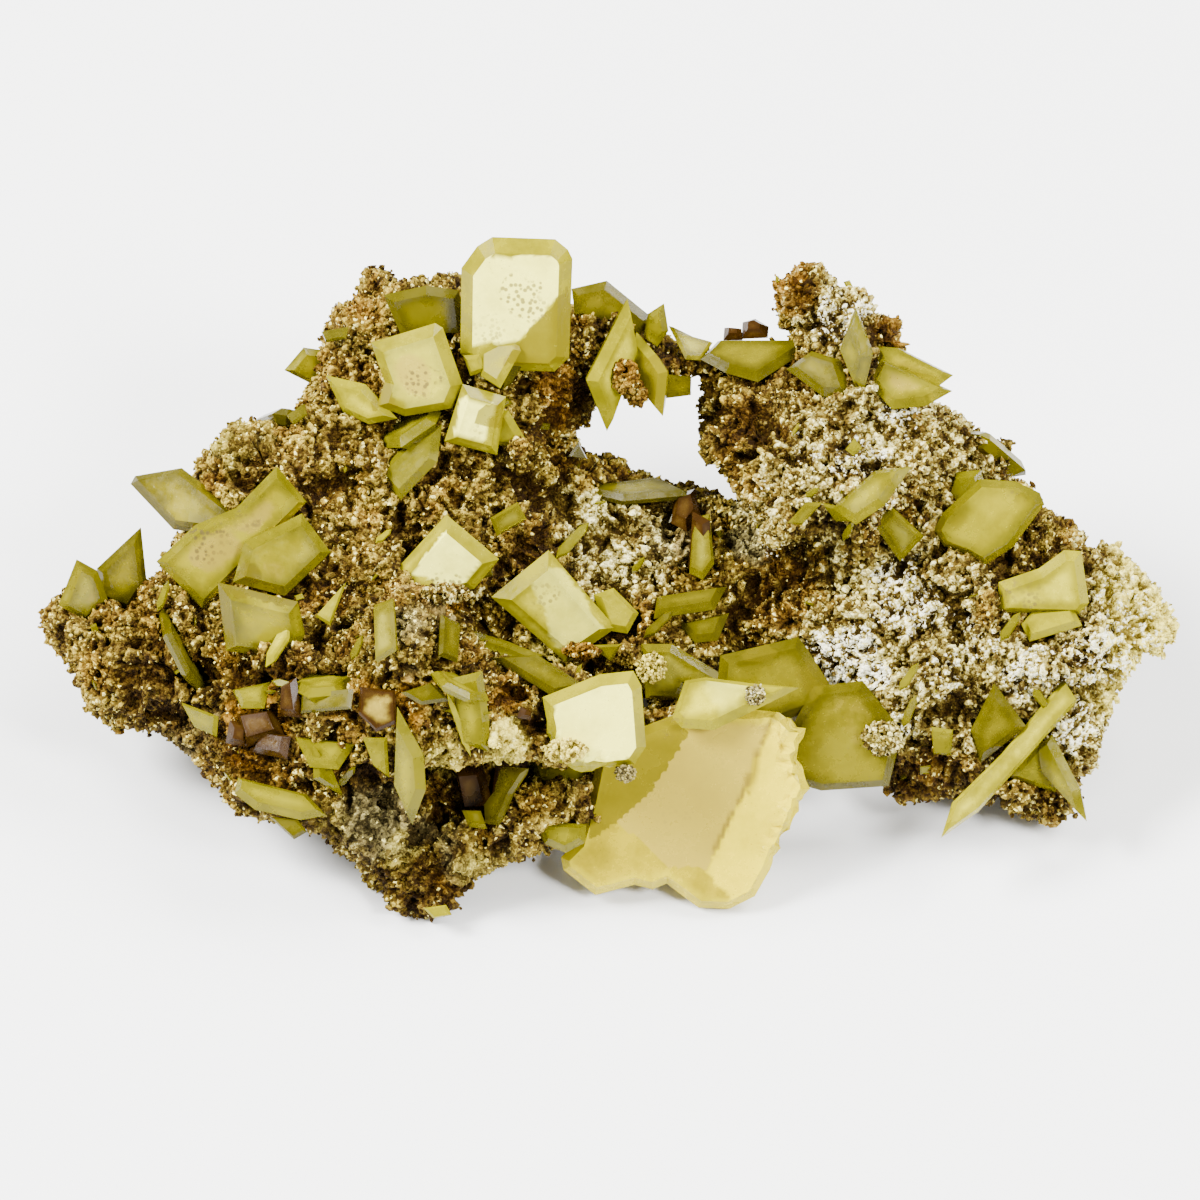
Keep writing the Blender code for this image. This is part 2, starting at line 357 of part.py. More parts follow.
def inside(outline, points):
    """For each point, whether it lies inside the closed outline."""
    x, y = points[:, 0], points[:, 1]
    within = np.zeros(len(points), bool)
    for (x0, y0), (x1, y1) in zip(outline, outline[1:] + outline[:1]):
        crosses = (y0 > y) != (y1 > y)
        at = x0 + (y - y0) * (x1 - x0) / ((y1 - y0) or 1e-12)
        within ^= crosses & (x < at)
    return within


def edge_distance(outline, points):
    """For each point, its distance to the nearest side of the outline."""
    best = np.full(len(points), np.inf)
    for start, end in zip(outline, outline[1:] + outline[:1]):
        a, b = np.array(start, float), np.array(end, float)
        side = b - a
        share = np.clip((points - a) @ side / (side @ side), 0, 1)
        best = np.minimum(best, np.linalg.norm(points - a - share[:, None] * side, axis=1))
    return best


def surface_toward(tops, points):
    """How far towards the eye the surface lies at each point: the given heights, weighted by nearness."""
    spots = np.array([(a, b) for a, b, _ in tops], float)
    values = np.array([toward_at(b, h) for _, b, h in tops])
    gaps = np.linalg.norm(points[:, None, :] - spots[None, :, :], axis=2)
    weights = 1.0 / (gaps + 0.8) ** 3
    return weights @ values / weights.sum(1)


def add_pillar(bm, middle, radius, half_depth):
    """A round-ended pillar along the line of sight: a ball with its two halves drawn apart."""
    ball = bmesh.ops.create_icosphere(bm, subdivisions=1, radius=radius)["verts"]
    stretch = max(0.0, half_depth - radius)
    for vert in ball:
        toward = vert.co.dot(TOWARD)
        vert.co += TOWARD * math.copysign(stretch, toward) + middle


def add_mass(bm, outline, tops, thick, rng):
    """Fills an outline with pillars that end on the mass's surface and get short towards its edge."""
    low, high = np.min(outline, 0), np.max(outline, 0)
    across, up = np.meshgrid(np.arange(low[0], high[0], LUMP_STEP), np.arange(low[1], high[1], LUMP_STEP * 0.87))
    across[1::2] += LUMP_STEP / 2
    points = np.stack([across.ravel(), up.ravel()], 1)
    points += rng.uniform(-0.45, 0.45, points.shape)
    points = points[inside(outline, points)]
    rim = edge_distance(outline, points)
    points, rim = points[rim > 0.7], rim[rim > 0.7]
    front = surface_toward(tops, points)
    round_off = np.sqrt(1 - (1 - np.minimum(rim, EDGE_ROUND) / EDGE_ROUND) ** 2)
    for (a, b), edge, face, share in zip(points, rim, front, round_off):
        half = thick / 2 * share
        swell = rng.uniform(-LUMP_SWELL, LUMP_SWELL) * share
        radius = max(0.9, min(LUMP_RADIUS, edge, half))
        add_pillar(bm, seen(a, b, face - thick / 2 + swell), radius, half)


def add_core(bm, rng):
    """The inner body: balls with smaller lumps over their outsides, so that no ball shows as one."""
    for x, y, z, radius in CORE:
        centre = Vector((x, y, z))
        bmesh.ops.create_icosphere(bm, subdivisions=2, radius=radius * 0.86, matrix=Matrix.Translation(centre))
        for _ in range(14):
            way = Vector(rng.normal(size=3)).normalized()
            lump = radius * rng.uniform(0.28, 0.5)
            place = centre + way * (radius * 1.02 - lump * 0.75)
            bmesh.ops.create_icosphere(bm, subdivisions=1, radius=lump, matrix=Matrix.Translation(place))


def moved_outline(outline, distance):
    """The outline with each side moved outwards by the distance, or inwards where it is negative."""
    moved = []
    count = len(outline)
    for i in range(count):
        before, here, after = outline[i - 1], outline[i], outline[(i + 1) % count]
        first, second = (here - before).normalized(), (after - here).normalized()
        out_a, out_b = Vector((first.y, -first.x)), Vector((second.y, -second.x))
        corner = (out_a + out_b) / max(0.25, 1.0 + out_a.dot(out_b))
        moved.append(here + corner * distance)
    return moved


def turns_left(outline):
    """Whether the outline runs anticlockwise."""
    return sum(a.x * b.y - b.x * a.y for a, b in zip(outline, outline[1:] + outline[:1])) > 0


def tablet(origin, side, other, outline, thick, bevel, grow):
    """A flat crystal: the outline at its widest, and a smaller face above and below it.

    The outline's coordinates run along the two given directions. A tablet that is grown is larger
    by that much on every side, which gives the socket that the tablet sits in.
    """
    normal = side.cross(other).normalized()
    flat = [Vector(p) for p in outline]
    if not turns_left(flat):
        flat.reverse()
    middle = sum(flat, Vector((0.0, 0.0))) / len(flat)
    ring_list = [(a.x, a.y) for a in flat]
    reach = edge_distance(ring_list, np.array([[middle.x, middle.y]]))[0]
    bevel = min(bevel, 0.42 * reach)
    rings = [
        (moved_outline(flat, grow - bevel), -thick / 2 - grow),
        (moved_outline(flat, grow), 0.0),
        (moved_outline(flat, grow - bevel), thick / 2 + grow),
    ]
    bm = bmesh.new()
    verts = []
    for ring, level in rings:
        verts.append([bm.verts.new((origin + side * p.x + other * p.y + normal * level) * MM) for p in ring])
    count = len(flat)
    bm.faces.new(list(reversed(verts[0])))
    bm.faces.new(verts[2])
    for low, high in zip(verts, verts[1:]):
        for i in range(count):
            j = (i + 1) % count
            bm.faces.new((low[i], low[j], high[j], high[i]))
    bmesh.ops.triangulate(bm, faces=bm.faces[:])
    mesh = bpy.data.meshes.new("tablet")
    bm.to_mesh(mesh)
    bm.free()
    return mesh


def rock_toward(tree, across, up):
    """How far towards the eye the rock's nearest surface lies behind the point (across, up)."""
    hit = tree.ray_cast(seen(across, up, 200.0) * MM, -TOWARD)
    if hit[0] is None:
        raise ValueError(f"no rock behind {across}, {up}")
    return hit[0].dot(TOWARD) / MM


def plate_frame(tree, root, lift, slopes):
    """The root of a plate in space, and the directions of its face that are seen as across and up."""
    toward = rock_toward(tree, *root) + lift if lift < 7.0 else toward_at(root[1], lift)
    origin = seen(*root, toward)
    along = RIGHT + TOWARD * slopes[0]
    upward = UP + TOWARD * slopes[1]
    side = along.normalized()
    other = (upward - side * upward.dot(side)).normalized()
    return origin, along, upward, side, other


def plate_mesh(tree, spec, grow):
    """A plate from its outline as it is seen, laid onto the plane that it lies in."""
    outline, root, lift, slopes, thick, bevel = spec
    origin, along, upward, side, other = plate_frame(tree, root, lift, slopes)
    flat = []
    for across, up in outline:
        offset = along * (across - root[0]) + upward * (up - root[1])
        flat.append((offset.dot(side), offset.dot(other)))
    return tablet(origin, side, other, flat, thick, bevel, grow)


def blade_mesh(tree, spec, grow):
    """A blade seen on its edge: a lozenge that runs from tip to tip and deep along the line of sight."""
    first, last, thick, deep, lean, lift = spec
    middle = ((first[0] + last[0]) / 2, (first[1] + last[1]) / 2)
    length = RIGHT * (last[0] - first[0]) + UP * (last[1] - first[1])
    half = length.length / 2
    side = length.normalized()
    other = Matrix.Rotation(math.radians(lean), 3, side) @ TOWARD
    origin = seen(*middle, rock_toward(tree, *middle) + lift - deep / 2)
    outline = [(-half, 0), (-half * 0.35, -deep), (half * 0.4, -deep), (half, 0), (half * 0.45, deep), (-half * 0.5, deep)]
    return tablet(origin, side, other, outline, thick, 0.5 * thick, grow)


def rear_mesh(tree, spec, grow):
    """A square plate that stands out of the rock's far side."""
    (x, z), edge, turn, lean = spec
    hit = tree.ray_cast(Vector((x, 90.0, z)) * MM, Vector((0.0, -1.0, 0.0)))[0] / MM
    spin = Matrix.Rotation(math.radians(turn), 3, "Y") @ Matrix.Rotation(math.radians(lean), 3, "X")
    side, other = spin @ Vector((1.0, 0.0, 0.0)), spin @ Vector((0.0, 0.0, 1.0))
    half, cut = edge / 2, edge * 0.12
    outline = [
        (-half, -half + cut), (-half + cut, -half), (half - cut, -half), (half, -half + cut),
        (half, half - cut), (half - cut, half), (-half + cut, half), (-half, half - cut),
    ]
    return tablet(hit + other * half * 0.35, side, other, outline, REAR_THICK, REAR_BEVEL, grow)


def crystal_meshes(tree, grow):
    """Every crystal's mesh by name, in the order of the lists above."""
    meshes = {name: plate_mesh(tree, spec, grow) for name, spec in PLATES.items()}
    meshes.update({name: blade_mesh(tree, spec, grow) for name, spec in BLADES.items()})
    meshes.update({name: rear_mesh(tree, spec, grow) for name, spec in REAR.items()})
    return meshes


def tree_of(mesh):
    bm = bmesh.new()
    bm.from_mesh(mesh)
    tree = BVHTree.FromBMesh(bm)
    bm.free()
    return tree


def grown_together(meshes):
    """The names of the crystals in groups: crystals that run into each other are in one group."""
    names = list(meshes)
    trees = {name: tree_of(meshes[name]) for name in names}
    group = {name: name for name in names}
    for i, one in enumerate(names):
        for two in names[i + 1 :]:
            if group[one] != group[two] and trees[one].overlap(trees[two]):
                old = group[two]
                group = {name: group[one] if label == old else label for name, label in group.items()}
    order = {}
    for name in names:
        order.setdefault(group[name], []).append(name)
    return list(order.values())


def combine(obj, others, operation):
    """Joins meshes to an object, or takes them out of it, one after the other."""
    for mesh in others:
        tool = bpy.data.objects.new("tool", mesh)
        bpy.context.scene.collection.objects.link(tool)
        step = obj.modifiers.new(operation.lower(), "BOOLEAN")
        step.object = tool
        step.operation = operation
        step.solver = "EXACT"
        obj.data = evaluated_mesh(obj)
        obj.modifiers.clear()
        bpy.data.objects.remove(tool)


def box_mesh(low, high):
    bm = bmesh.new()
    bmesh.ops.create_cube(bm, size=1.0)
    size = [b - a for a, b in zip(low, high)]
    bmesh.ops.scale(bm, vec=[v * MM for v in size], verts=bm.verts)
    bmesh.ops.translate(bm, vec=[(a + b) / 2 * MM for a, b in zip(low, high)], verts=bm.verts)
    mesh = bpy.data.meshes.new("box")
    bm.to_mesh(mesh)
    bm.free()
    return mesh


def stand_on_origin(objects):
    """Moves everything so that the middle of its box is over the origin."""
    points = [vert.co for obj in objects for vert in obj.data.vertices]
    middle = [(min(p[i] for p in points) + max(p[i] for p in points)) / 2 for i in (0, 1)]
    for obj in objects:
        obj.data.transform(Matrix.Translation((-middle[0], -middle[1], 0.0)))


def new_object(name, mesh, collection):
    obj = bpy.data.objects.new(name, mesh)
    collection.objects.link(obj)
    return obj


def evaluated_mesh(obj):
    """The mesh as its modifiers leave it, with its object's place applied."""
    graph = bpy.context.evaluated_depsgraph_get()
    mesh = bpy.data.meshes.new_from_object(obj.evaluated_get(graph), depsgraph=graph)
    mesh.transform(obj.matrix_world)
    return mesh


def keep_largest_island(mesh):
    """Removes the crumbs and sealed hollows that come apart from the main body of a mesh."""
    bm = bmesh.new()
    bm.from_mesh(mesh)
    islands, left = [], set(bm.verts)
    while left:
        island, queue = set(), [left.pop()]
        while queue:
            vert = queue.pop()
            island.add(vert)
            near = [edge.other_vert(vert) for edge in vert.link_edges]
            queue += [v for v in near if v in left]
            left.difference_update(near)
        islands.append(island)
    islands.sort(key=len)
    bmesh.ops.delete(bm, geom=[v for island in islands[:-1] for v in island], context="VERTS")
    bm.to_mesh(mesh)
    bm.free()


def rock_body(collection):
    """The rock before any crystal sits in it: lumps joined by a voxel remesh, weathered and cut off flat."""
    rng = np.random.default_rng(SEED)
    bm = bmesh.new()
    for outline, tops, thick in MASSES.values():
        add_mass(bm, outline, tops, thick, rng)
    add_core(bm, rng)
    bmesh.ops.scale(bm, vec=(MM, MM, MM), verts=bm.verts)
    mesh = bpy.data.meshes.new("matrix")
    bm.to_mesh(mesh)
    bm.free()
    rock = new_object("matrix", mesh, collection)
    remesh = rock.modifiers.new("join_lumps", "REMESH")
    remesh.mode = "VOXEL"
    remesh.voxel_size = ROCK_VOXEL * MM
    texture = bpy.data.textures.new("rock_relief", "CLOUDS")
    texture.noise_scale = 4.5 * MM
    texture.noise_depth = 3
    displace = rock.modifiers.new("weather", "DISPLACE")
    displace.texture = texture
    displace.texture_coords = "GLOBAL"
    displace.strength = 2.4 * MM
    displace.mid_level = 0.5
    rock.data = evaluated_mesh(rock)
    rock.modifiers.clear()
    keep_largest_island(rock.data)
    decimate = rock.modifiers.new("simplify", "DECIMATE")
    decimate.ratio = ROCK_TRIANGLES / (2 * len(rock.data.polygons))
    decimate.use_collapse_triangulate = True
    rock.data = evaluated_mesh(rock)
    rock.modifiers.clear()
    return rock


def main():
    for obj in list(bpy.data.objects):
        bpy.data.objects.remove(obj)
    collection = bpy.data.collections.new("wulfenite")
    bpy.context.scene.collection.children.link(collection)
    rock = rock_body(collection)
    tree = tree_of(rock.data)
    meshes = crystal_meshes(tree, 0.0)
    sockets = crystal_meshes(tree, SOCKET_GAP)
    crystals = []
    for group in grown_together(meshes):
        crystal = new_object(group[0], meshes[group[0]], collection)
        combine(crystal, [meshes[name] for name in group[1:]], "UNION")
        crystals.append(crystal)
    ground = box_mesh((-80, -80, -30), (80, 120, 0))
    combine(rock, [ground, box_mesh(*WINDOW_WAY)] + list(sockets.values()), "DIFFERENCE")
    keep_largest_island(rock.data)
    stand_on_origin([rock] + crystals)


if __name__ == "__main__":
    main()
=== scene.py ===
"""The looks of a wulfenite specimen: crusted brown limonite with flat yellow crystals.

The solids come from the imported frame. The rock is made again from its solid with its grains,
pits and stains, the crystals get their growth zones, and the smallest crystals and grains are
added. Lengths are in metres, and names ending in _mm are in millimetres.
"""

import json
import math

import bmesh
import bpy
import numpy as np
from bpy.props import FloatProperty, FloatVectorProperty, IntProperty, PointerProperty
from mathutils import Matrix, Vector

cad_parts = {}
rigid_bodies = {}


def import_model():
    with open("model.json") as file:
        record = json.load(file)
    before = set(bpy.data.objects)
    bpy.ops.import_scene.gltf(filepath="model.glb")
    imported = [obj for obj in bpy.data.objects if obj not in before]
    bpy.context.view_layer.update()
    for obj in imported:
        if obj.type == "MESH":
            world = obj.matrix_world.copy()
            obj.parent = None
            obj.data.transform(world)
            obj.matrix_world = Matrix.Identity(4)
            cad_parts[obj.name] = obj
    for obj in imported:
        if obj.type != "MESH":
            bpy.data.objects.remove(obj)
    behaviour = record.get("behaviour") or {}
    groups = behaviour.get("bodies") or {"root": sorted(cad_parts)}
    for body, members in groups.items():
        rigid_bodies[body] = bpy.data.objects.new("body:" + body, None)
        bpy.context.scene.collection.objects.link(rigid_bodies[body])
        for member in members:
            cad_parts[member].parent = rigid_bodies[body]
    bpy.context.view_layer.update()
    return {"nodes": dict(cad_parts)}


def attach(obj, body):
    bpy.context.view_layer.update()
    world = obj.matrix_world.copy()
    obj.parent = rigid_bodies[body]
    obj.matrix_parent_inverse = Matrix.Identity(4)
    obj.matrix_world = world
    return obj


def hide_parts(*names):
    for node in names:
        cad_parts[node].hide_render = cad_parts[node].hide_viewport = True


bl_info = {
    "name": "Wulfenite specimen",
    "version": (1, 0, 0),
    "blender": (4, 5, 0),
    "location": "View3D > Sidebar > Specimen",
    "description": "Makes the crusted rock, the yellow crystals and the pale studio of a mineral specimen",
    "category": "Add Mesh",
}

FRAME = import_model()
MM = 0.001

# The specimen is looked at from in front and above. A place on it is given as it is seen: how far
# across and how far up the sheet it is, in millimetres, from a corner of the ground.
LOOK_DOWN = math.radians(45.0)
SHEET_ORIGIN_MM = np.array([-0.746, -27.599, 0.0])
SHEET_CENTRE_MM = (0.0, 28.44)
SHEET_WIDTH_MM = 105.0
FOCUS_TOWARD_MM = -6.8
RIGHT = np.array([1.0, 0.0, 0.0])
UP = np.array([0.0, math.sin(LOOK_DOWN), math.cos(LOOK_DOWN)])
TOWARD = np.array([0.0, -math.cos(LOOK_DOWN), math.sin(LOOK_DOWN)])

GRAIN_SEED = 7
TUFT_SEED = 23
# Corners of one grain, and the most triangles that one piece of the rock may have.
BLOCK_CORNERS = 12
MOST_TRIANGLES = 190000
# An edge that bends more than this counts as a crystal's edge, and its faces are halved up to so often.
SHARP_EDGE = math.radians(18)
MOST_CUTS = 6
# The cells in which the rock's front is kept, and the steepest slope a small crystal takes from it.
MAP_CELL_MM = 0.5
STEEPEST = 1.1
CRYSTAL_IOR = 1.3
FLOOR_WIDTH = 6.0

# Patches of crust seen at (across, up), with a radius in millimetres and an amount: stains, places
# darkened as painted shade, and places lightened as painted light.
STAIN_PATCHES = {
    "white": (
        (22, 41, 3.2, 0.6), (26, 44.5, 2.4, 0.6), (17, 43, 3, 0.4), (30.5, 42.5, 2.2, 0.4),
        (20.5, 53.2, 2.6, 0.9), (21.5, 23.5, 3.6, 0.9), (26.5, 28.5, 4, 0.7), (33, 26, 2.8, 0.5),
        (46.5, 28, 4, 0.55), (43, 23.5, 3, 0.8), (47.5, 24.5, 2.8, 0.5), (30, 21, 3, 0.5),
        (38, 21.5, 3.2, 0.7), (26.5, 17.5, 2.6, 0.5), (41, 17.5, 2.6, 0.8), (14.5, 38, 1.8, 0.5),
        (15, 33, 1.2, 0.5), (2, 33.5, 3, 0.25), (-1.5, 30, 2, 0.2), (5.5, 32, 2, 0.2), (24, 36.5, 2.4, 0.5),
        (32, 35, 2.2, 0.3), (24.5, 16, 1.6, 0.5), (45, 31, 2.6, 0.45),
    ),
    "pale": (
        (26, 25, 9, 0.9), (33, 21, 7, 0.8), (46, 27, 7, 1), (40, 20, 6, 0.9), (22, 41, 8, 0.7),
        (30, 42, 6, 0.6), (20.5, 53.5, 3.5, 1), (1.5, 33, 5, 0.8), (14, 35.5, 3, 0.6), (28, 32, 5, 0.5),
        (35, 36, 3, 0.4), (-2, 29.5, 3, 0.6), (0, 34.5, 4, 1), (3.5, 35.5, 3, 0.7), (26, 18, 4, 0.8),
    ),
    "cream": (
        (-13.5, 14.6, 2, 0.5), (-8, 15.8, 2.6, 0.8), (-10, 6, 3, 0.5), (-24, 8, 3, 0.2),
        (-17.5, 6.2, 2, 0.4), (-38, 17.5, 4, 0.15), (-44, 19, 3.5, 0.2), (49.5, 26, 3, 1),
        (4.5, 22.5, 1.8, 1), (-4, 24, 3, 0.4), (-30, 41, 4, 0.3), (47, 30, 4, 0.7), (48, 24.5, 4, 0.8),
        (44, 21, 3, 0.5), (34, 17, 3, 0.4),
    ),
    "grey": (
        (-19, 9, 4, 0.5), (-11, 7, 4, 0.4), (10.5, 37, 3, 0.4), (2, 13, 2.5, 0.8), (-16, 26, 3.5, 0.4),
        (13, 33.5, 2, 0.6), (6, 34, 3.5, 0.4), (-36, 17, 3, 0.5),
    ),
    "rust": (
        (-30, 17, 3.5, 0.8), (-22, 20, 3, 0.5), (-8, 20, 2, 0.7), (-16, 19, 2.5, 0.6), (-14, 2.5, 3, 0.4),
        (27, 12, 4, 0.5), (16, 29, 4, 0.25), (14, 25.5, 3, 0.2), (17.5, 55.5, 2.5, 0.5),
        (26, 52.5, 2.5, 0.5), (-14, 28.5, 2.5, 0.6), (8.5, 33, 2, 0.7), (-22, 54, 2.5, 0.4),
        (-34, 24, 3, 0.3), (18, 47.5, 3, 0.4), (-3.5, 47, 3, 0.6),
    ),
}
# Painted shade: places darkened where shade falls, such as under the ridge's lip, in the cave and at the
# foot.
PAINTED_SHADE_PATCHES = (
    (-29.7, 15.3, 4, 0.9), (-14.5, 3, 4, 0.7), (-19, 10, 4, 0.5), (-38, 18.5, 3, 0.6), (-10.5, 11.5, 3, 0.8),
    (-22, 27, 3, 0.3), (-26, 22, 3, 0.3), (27, 13, 4, 0.4), (17, 31, 3, 0.6), (-24, 9, 3, 0.5),
    (-17, 44, 2.5, 0.5), (14.5, 47, 3, 0.4), (-1, 46, 3, 0.5), (33, 8.5, 3, 0.4),
)
# Painted light: places lightened where the crust lies in shade.
PAINTED_LIGHT_PATCHES = (
    (1.8, 34.6, 3.5, 0.9), (-3, 38, 3, 0.5), (-27, 45, 4, 0.4), (48, 27, 4, 0.6), (-20, 38, 3, 0.4),
    (4, 31, 2.5, 0.5), (-8, 15.8, 2.5, 0.6),
)

# Patches on the crystals: milky places, dirt, deeper yellow and tan places.
CRYSTAL_PATCHES = {
    "milk": (
        (-31, 33, 3, 0.3), (-36.3, 36.2, 1.5, 0.7), (-29, 26.8, 1.6, 0.5), (22, 14.5, 3, 0.6),
        (34, 37.5, 2, 0.4), (11, 21, 2, 0.3),
    ),
    "dirt": (
        (-7.2, 55, 2, 0.9), (-6, 53.8, 1.6, 0.7), (-9.5, 52, 2, 0.5), (-15.3, 47.8, 1.4, 1),
        (-16.4, 47, 1.6, 0.6), (-11, 43, 1.2, 0.5), (-13.5, 29.8, 1.6, 0.7), (-4, 25.5, 2, 0.4),
        (36, 29.5, 1.4, 0.5), (38, 29, 1.6, 0.6), (6, 17, 2.4, 0.4), (-30, 27, 1.8, 0.4),
        (37, 37.5, 1.6, 0.4), (-34, 33.5, 2.2, 0.6), (35, 12.5, 1.6, 0.5), (-30.5, 36, 1.8, 0.5),
        (3.2, 27, 1.4, 0.5), (-4.8, 29, 1.6, 0.6), (9.5, 13.5, 3.2, 0.3), (5.5, 9.5, 2.6, 0.25),
    ),
    "deep": (
        (-9.2, 44.2, 0.8, 0.6), (-19.3, 48, 1.1, 0.5), (-4, 30, 1.5, 0.3), (-30.8, 30.6, 1.3, 0.6),
        (31, 36, 2, 0.4), (37, 34.5, 2, 0.3), (18.5, 21.5, 2.2, 0.5), (-34, 37.8, 1.5, 0.8),
        (13.6, 24, 1.6, 0.7),
    ),
    "tan": (
        (-16.5, 48, 2.2, 0.8), (-11, 42.8, 1, 0.4), (23, 18, 2, 0.35), (-17, 37.5, 1.6, 0.7),
        (20.5, 20, 1.6, 0.3), (-33.8, 33.4, 2.4, 0.9), (-30.4, 35.8, 1.8, 0.8), (-28.4, 31, 1.2, 0.5),
        (-43.5, 28, 1.6, 0.6), (26.5, 47.5, 1.8, 0.6), (-19.5, 18.9, 1.8, 0.6),
    ),
}
# Growth zones with straight borders, for each crystal: what they are, their amount, their outline.
ZONES = {
    "top_plate": (
        ("deep", 0.9, ((-7.2, 50.8), (-2.7, 55.8), (-2, 49), (-8.6, 49))),
        ("milk", 1, ((-10.8, 58.4), (-3.6, 58.4), (-2.8, 55.9), (-7.2, 50.9), (-11.4, 50.9), (-11.4, 57))),
    ),
    "upper_notched_plate": (
        ("deep", 0.9, ((-10.9, 43.7), (-10.7, 45.4), (-8.4, 45.6), (-8.4, 43.6))),
        ("milk", 1, ((-12, 46.3), (-9.3, 45.6), (-10, 42.5), (-12.7, 43))),
    ),
    "upper_square_plate": (
        ("milk", 0.15, ((-19, 51), (-13.5, 52), (-12.2, 46), (-16.5, 45), (-18.6, 46.5))),
        ("deep", 0.6, ((-20, 47.8), (-18.6, 47.6), (-17.6, 45), (-20, 45))),
    ),
    "giant_plate": (
        ("deep", 1, ((-0.8, 7.6), (1.5, 9.2), (4.6, 12), (7.6, 16.7), (6, 20.5), (-2, 20.5))),
        ("tan", 1, (
            (7.6, 16.7), (4.6, 12), (1.5, 9.2), (5.8, 5.4), (9.3, 5), (12, 10.6), (15.1, 18.2), (9, 19.5))),
        ("milk", 0.75, ((15.1, 18.2), (12, 10.6), (9.3, 5), (12.5, 1), (19, 8), (19, 20))),
    ),
    "left_dark_edged_plate": (
        ("deep", 1, ((-33.8, 30.6), (-26, 29.2), (-26.2, 27.8), (-32.2, 29))),
        ("deep", 0.7, ((-33.8, 30.6), (-32.2, 29), (-31.6, 24.2), (-33, 24.2))),
    ),
    "centre_square_plate": (
        ("milk", 0.35, ((-6.5, 31.5), (-3, 31), (1, 25), (-1, 22.5), (-4, 24.5))),
    ),
    "centre_bright_plate": (
        ("milk", 1, ((-13.4, 34.6), (-10.1, 31.9), (-12.5, 29.3), (-16.4, 30.8))),
    ),
    "pale_shield_plate": (
        ("milk", 0.9, ((-3.6, 21.6), (3.4, 22.6), (3.8, 15), (-1, 13.8), (-4.2, 17))),
    ),
    "window_left_lozenge": (
        ("deep", 0.9, ((1.8, 49), (6.2, 50.5), (6.2, 43), (2.6, 43))),
    ),
}
# Cracks from point to point, and patches where a crystal's edge is ragged.
CRACKS = {
    "giant_plate": (((15.1, 18.2), (12, 10.6)), ((11.6, 10), (9.9, 6.6)), ((13.6, 14.2), (13, 11.6))),
}
RAGGED_PATCHES = {
    "giant_plate": ((16.8, 16, 3.4, 1), (15.5, 9.5, 3.6, 1), (17.5, 20, 2.5, 0.8)),
    "pale_shield_plate": ((-1, 14.2, 2.2, 0.6), (-4.5, 16, 1.6, 0.5)),
}

# For each finish: its material's name, the colours of its rim, face and milk, how milky it is, the
# rim's width in millimetres, its share of the crystals' clearness, and its absorption's colour and density.
FINISHES = {
    "yellow": (
        "wulfenite_yellow", (0.18, 0.157, 0.0), (0.31, 0.27, 0.0), (0.48, 0.42, 0.008),
        0.15, 1.1, 1.0, (0.97, 0.91, 0.02), 1500.0),
    "milky": (
        "wulfenite_milky", (0.21, 0.183, 0.0), (0.38, 0.33, 0.0), (0.98, 0.95, 0.17),
        0.08, 1.0, 0.3, (0.97, 0.91, 0.02), 1200.0),
    # The olive finish is the yellow finish darkened to about 0.57 in the same hue: painted shade for crystals
    # at the rear, in the valleys, in the cave and at the feet, and the darker olive tone that some crystals
    # have.
    "olive": (
        "wulfenite_olive", (0.10, 0.084, 0.0), (0.18, 0.15, 0.0), (0.28, 0.24, 0.006),
        0.15, 1.1, 1.0, (0.90, 0.84, 0.02), 1500.0),
    "grey_green": (
        "wulfenite_pale_green", (0.16, 0.135, 0.001), (0.26, 0.228, 0.010), (0.42, 0.38, 0.05),
        0.3, 0.8, 1.0, (0.92, 0.90, 0.25), 500.0),
    "warm": (
        "wulfenite_honey", (0.46, 0.375, 0.0), (0.34, 0.265, 0.0), (0.82, 0.66, 0.0),
        0.08, 0.7, 0.4, (0.98, 0.88, 0.03), 1000.0),
    "brown": (
        "smoky_brown_crystal", (0.030, 0.012, 0.001), (0.052, 0.024, 0.002), (0.11, 0.07, 0.015),
        0.2, 0.6, 0.6, (0.75, 0.45, 0.08), 900.0),
}
# The crystal solids that are neither plain yellow nor brown.
FINISHED_NODES = {
    "milky": (
        "centre_bright_plate", "centre_square_plate", "giant_leaf_plate", "pale_shield_plate",
        "right_long_blade", "right_square_plate", "top_plate", "upper_notched_plate", "upper_square_plate",
        "window_left_lozenge"),
    # Crystals that take the darkened olive finish, partly as painted shade.
    "olive": (
        "arm_blade", "arm_triangle_plate", "bridge_plate", "bridge_rear_plate", "giant_rear_plate",
        "knob_left_plate", "left_rear_plate", "rear_left_plate", "ridge_leaf_long", "right_cross_plate",
        "top_rear_plate", "valley_blade_plate", "valley_dark_lower_plate", "valley_dark_plate"),
    "grey_green": ("arm_pale_plate", "middle_fan_plate", "ridge_crest_plate", "right_pale_plate"),
    "warm": ("giant_plate",),
}

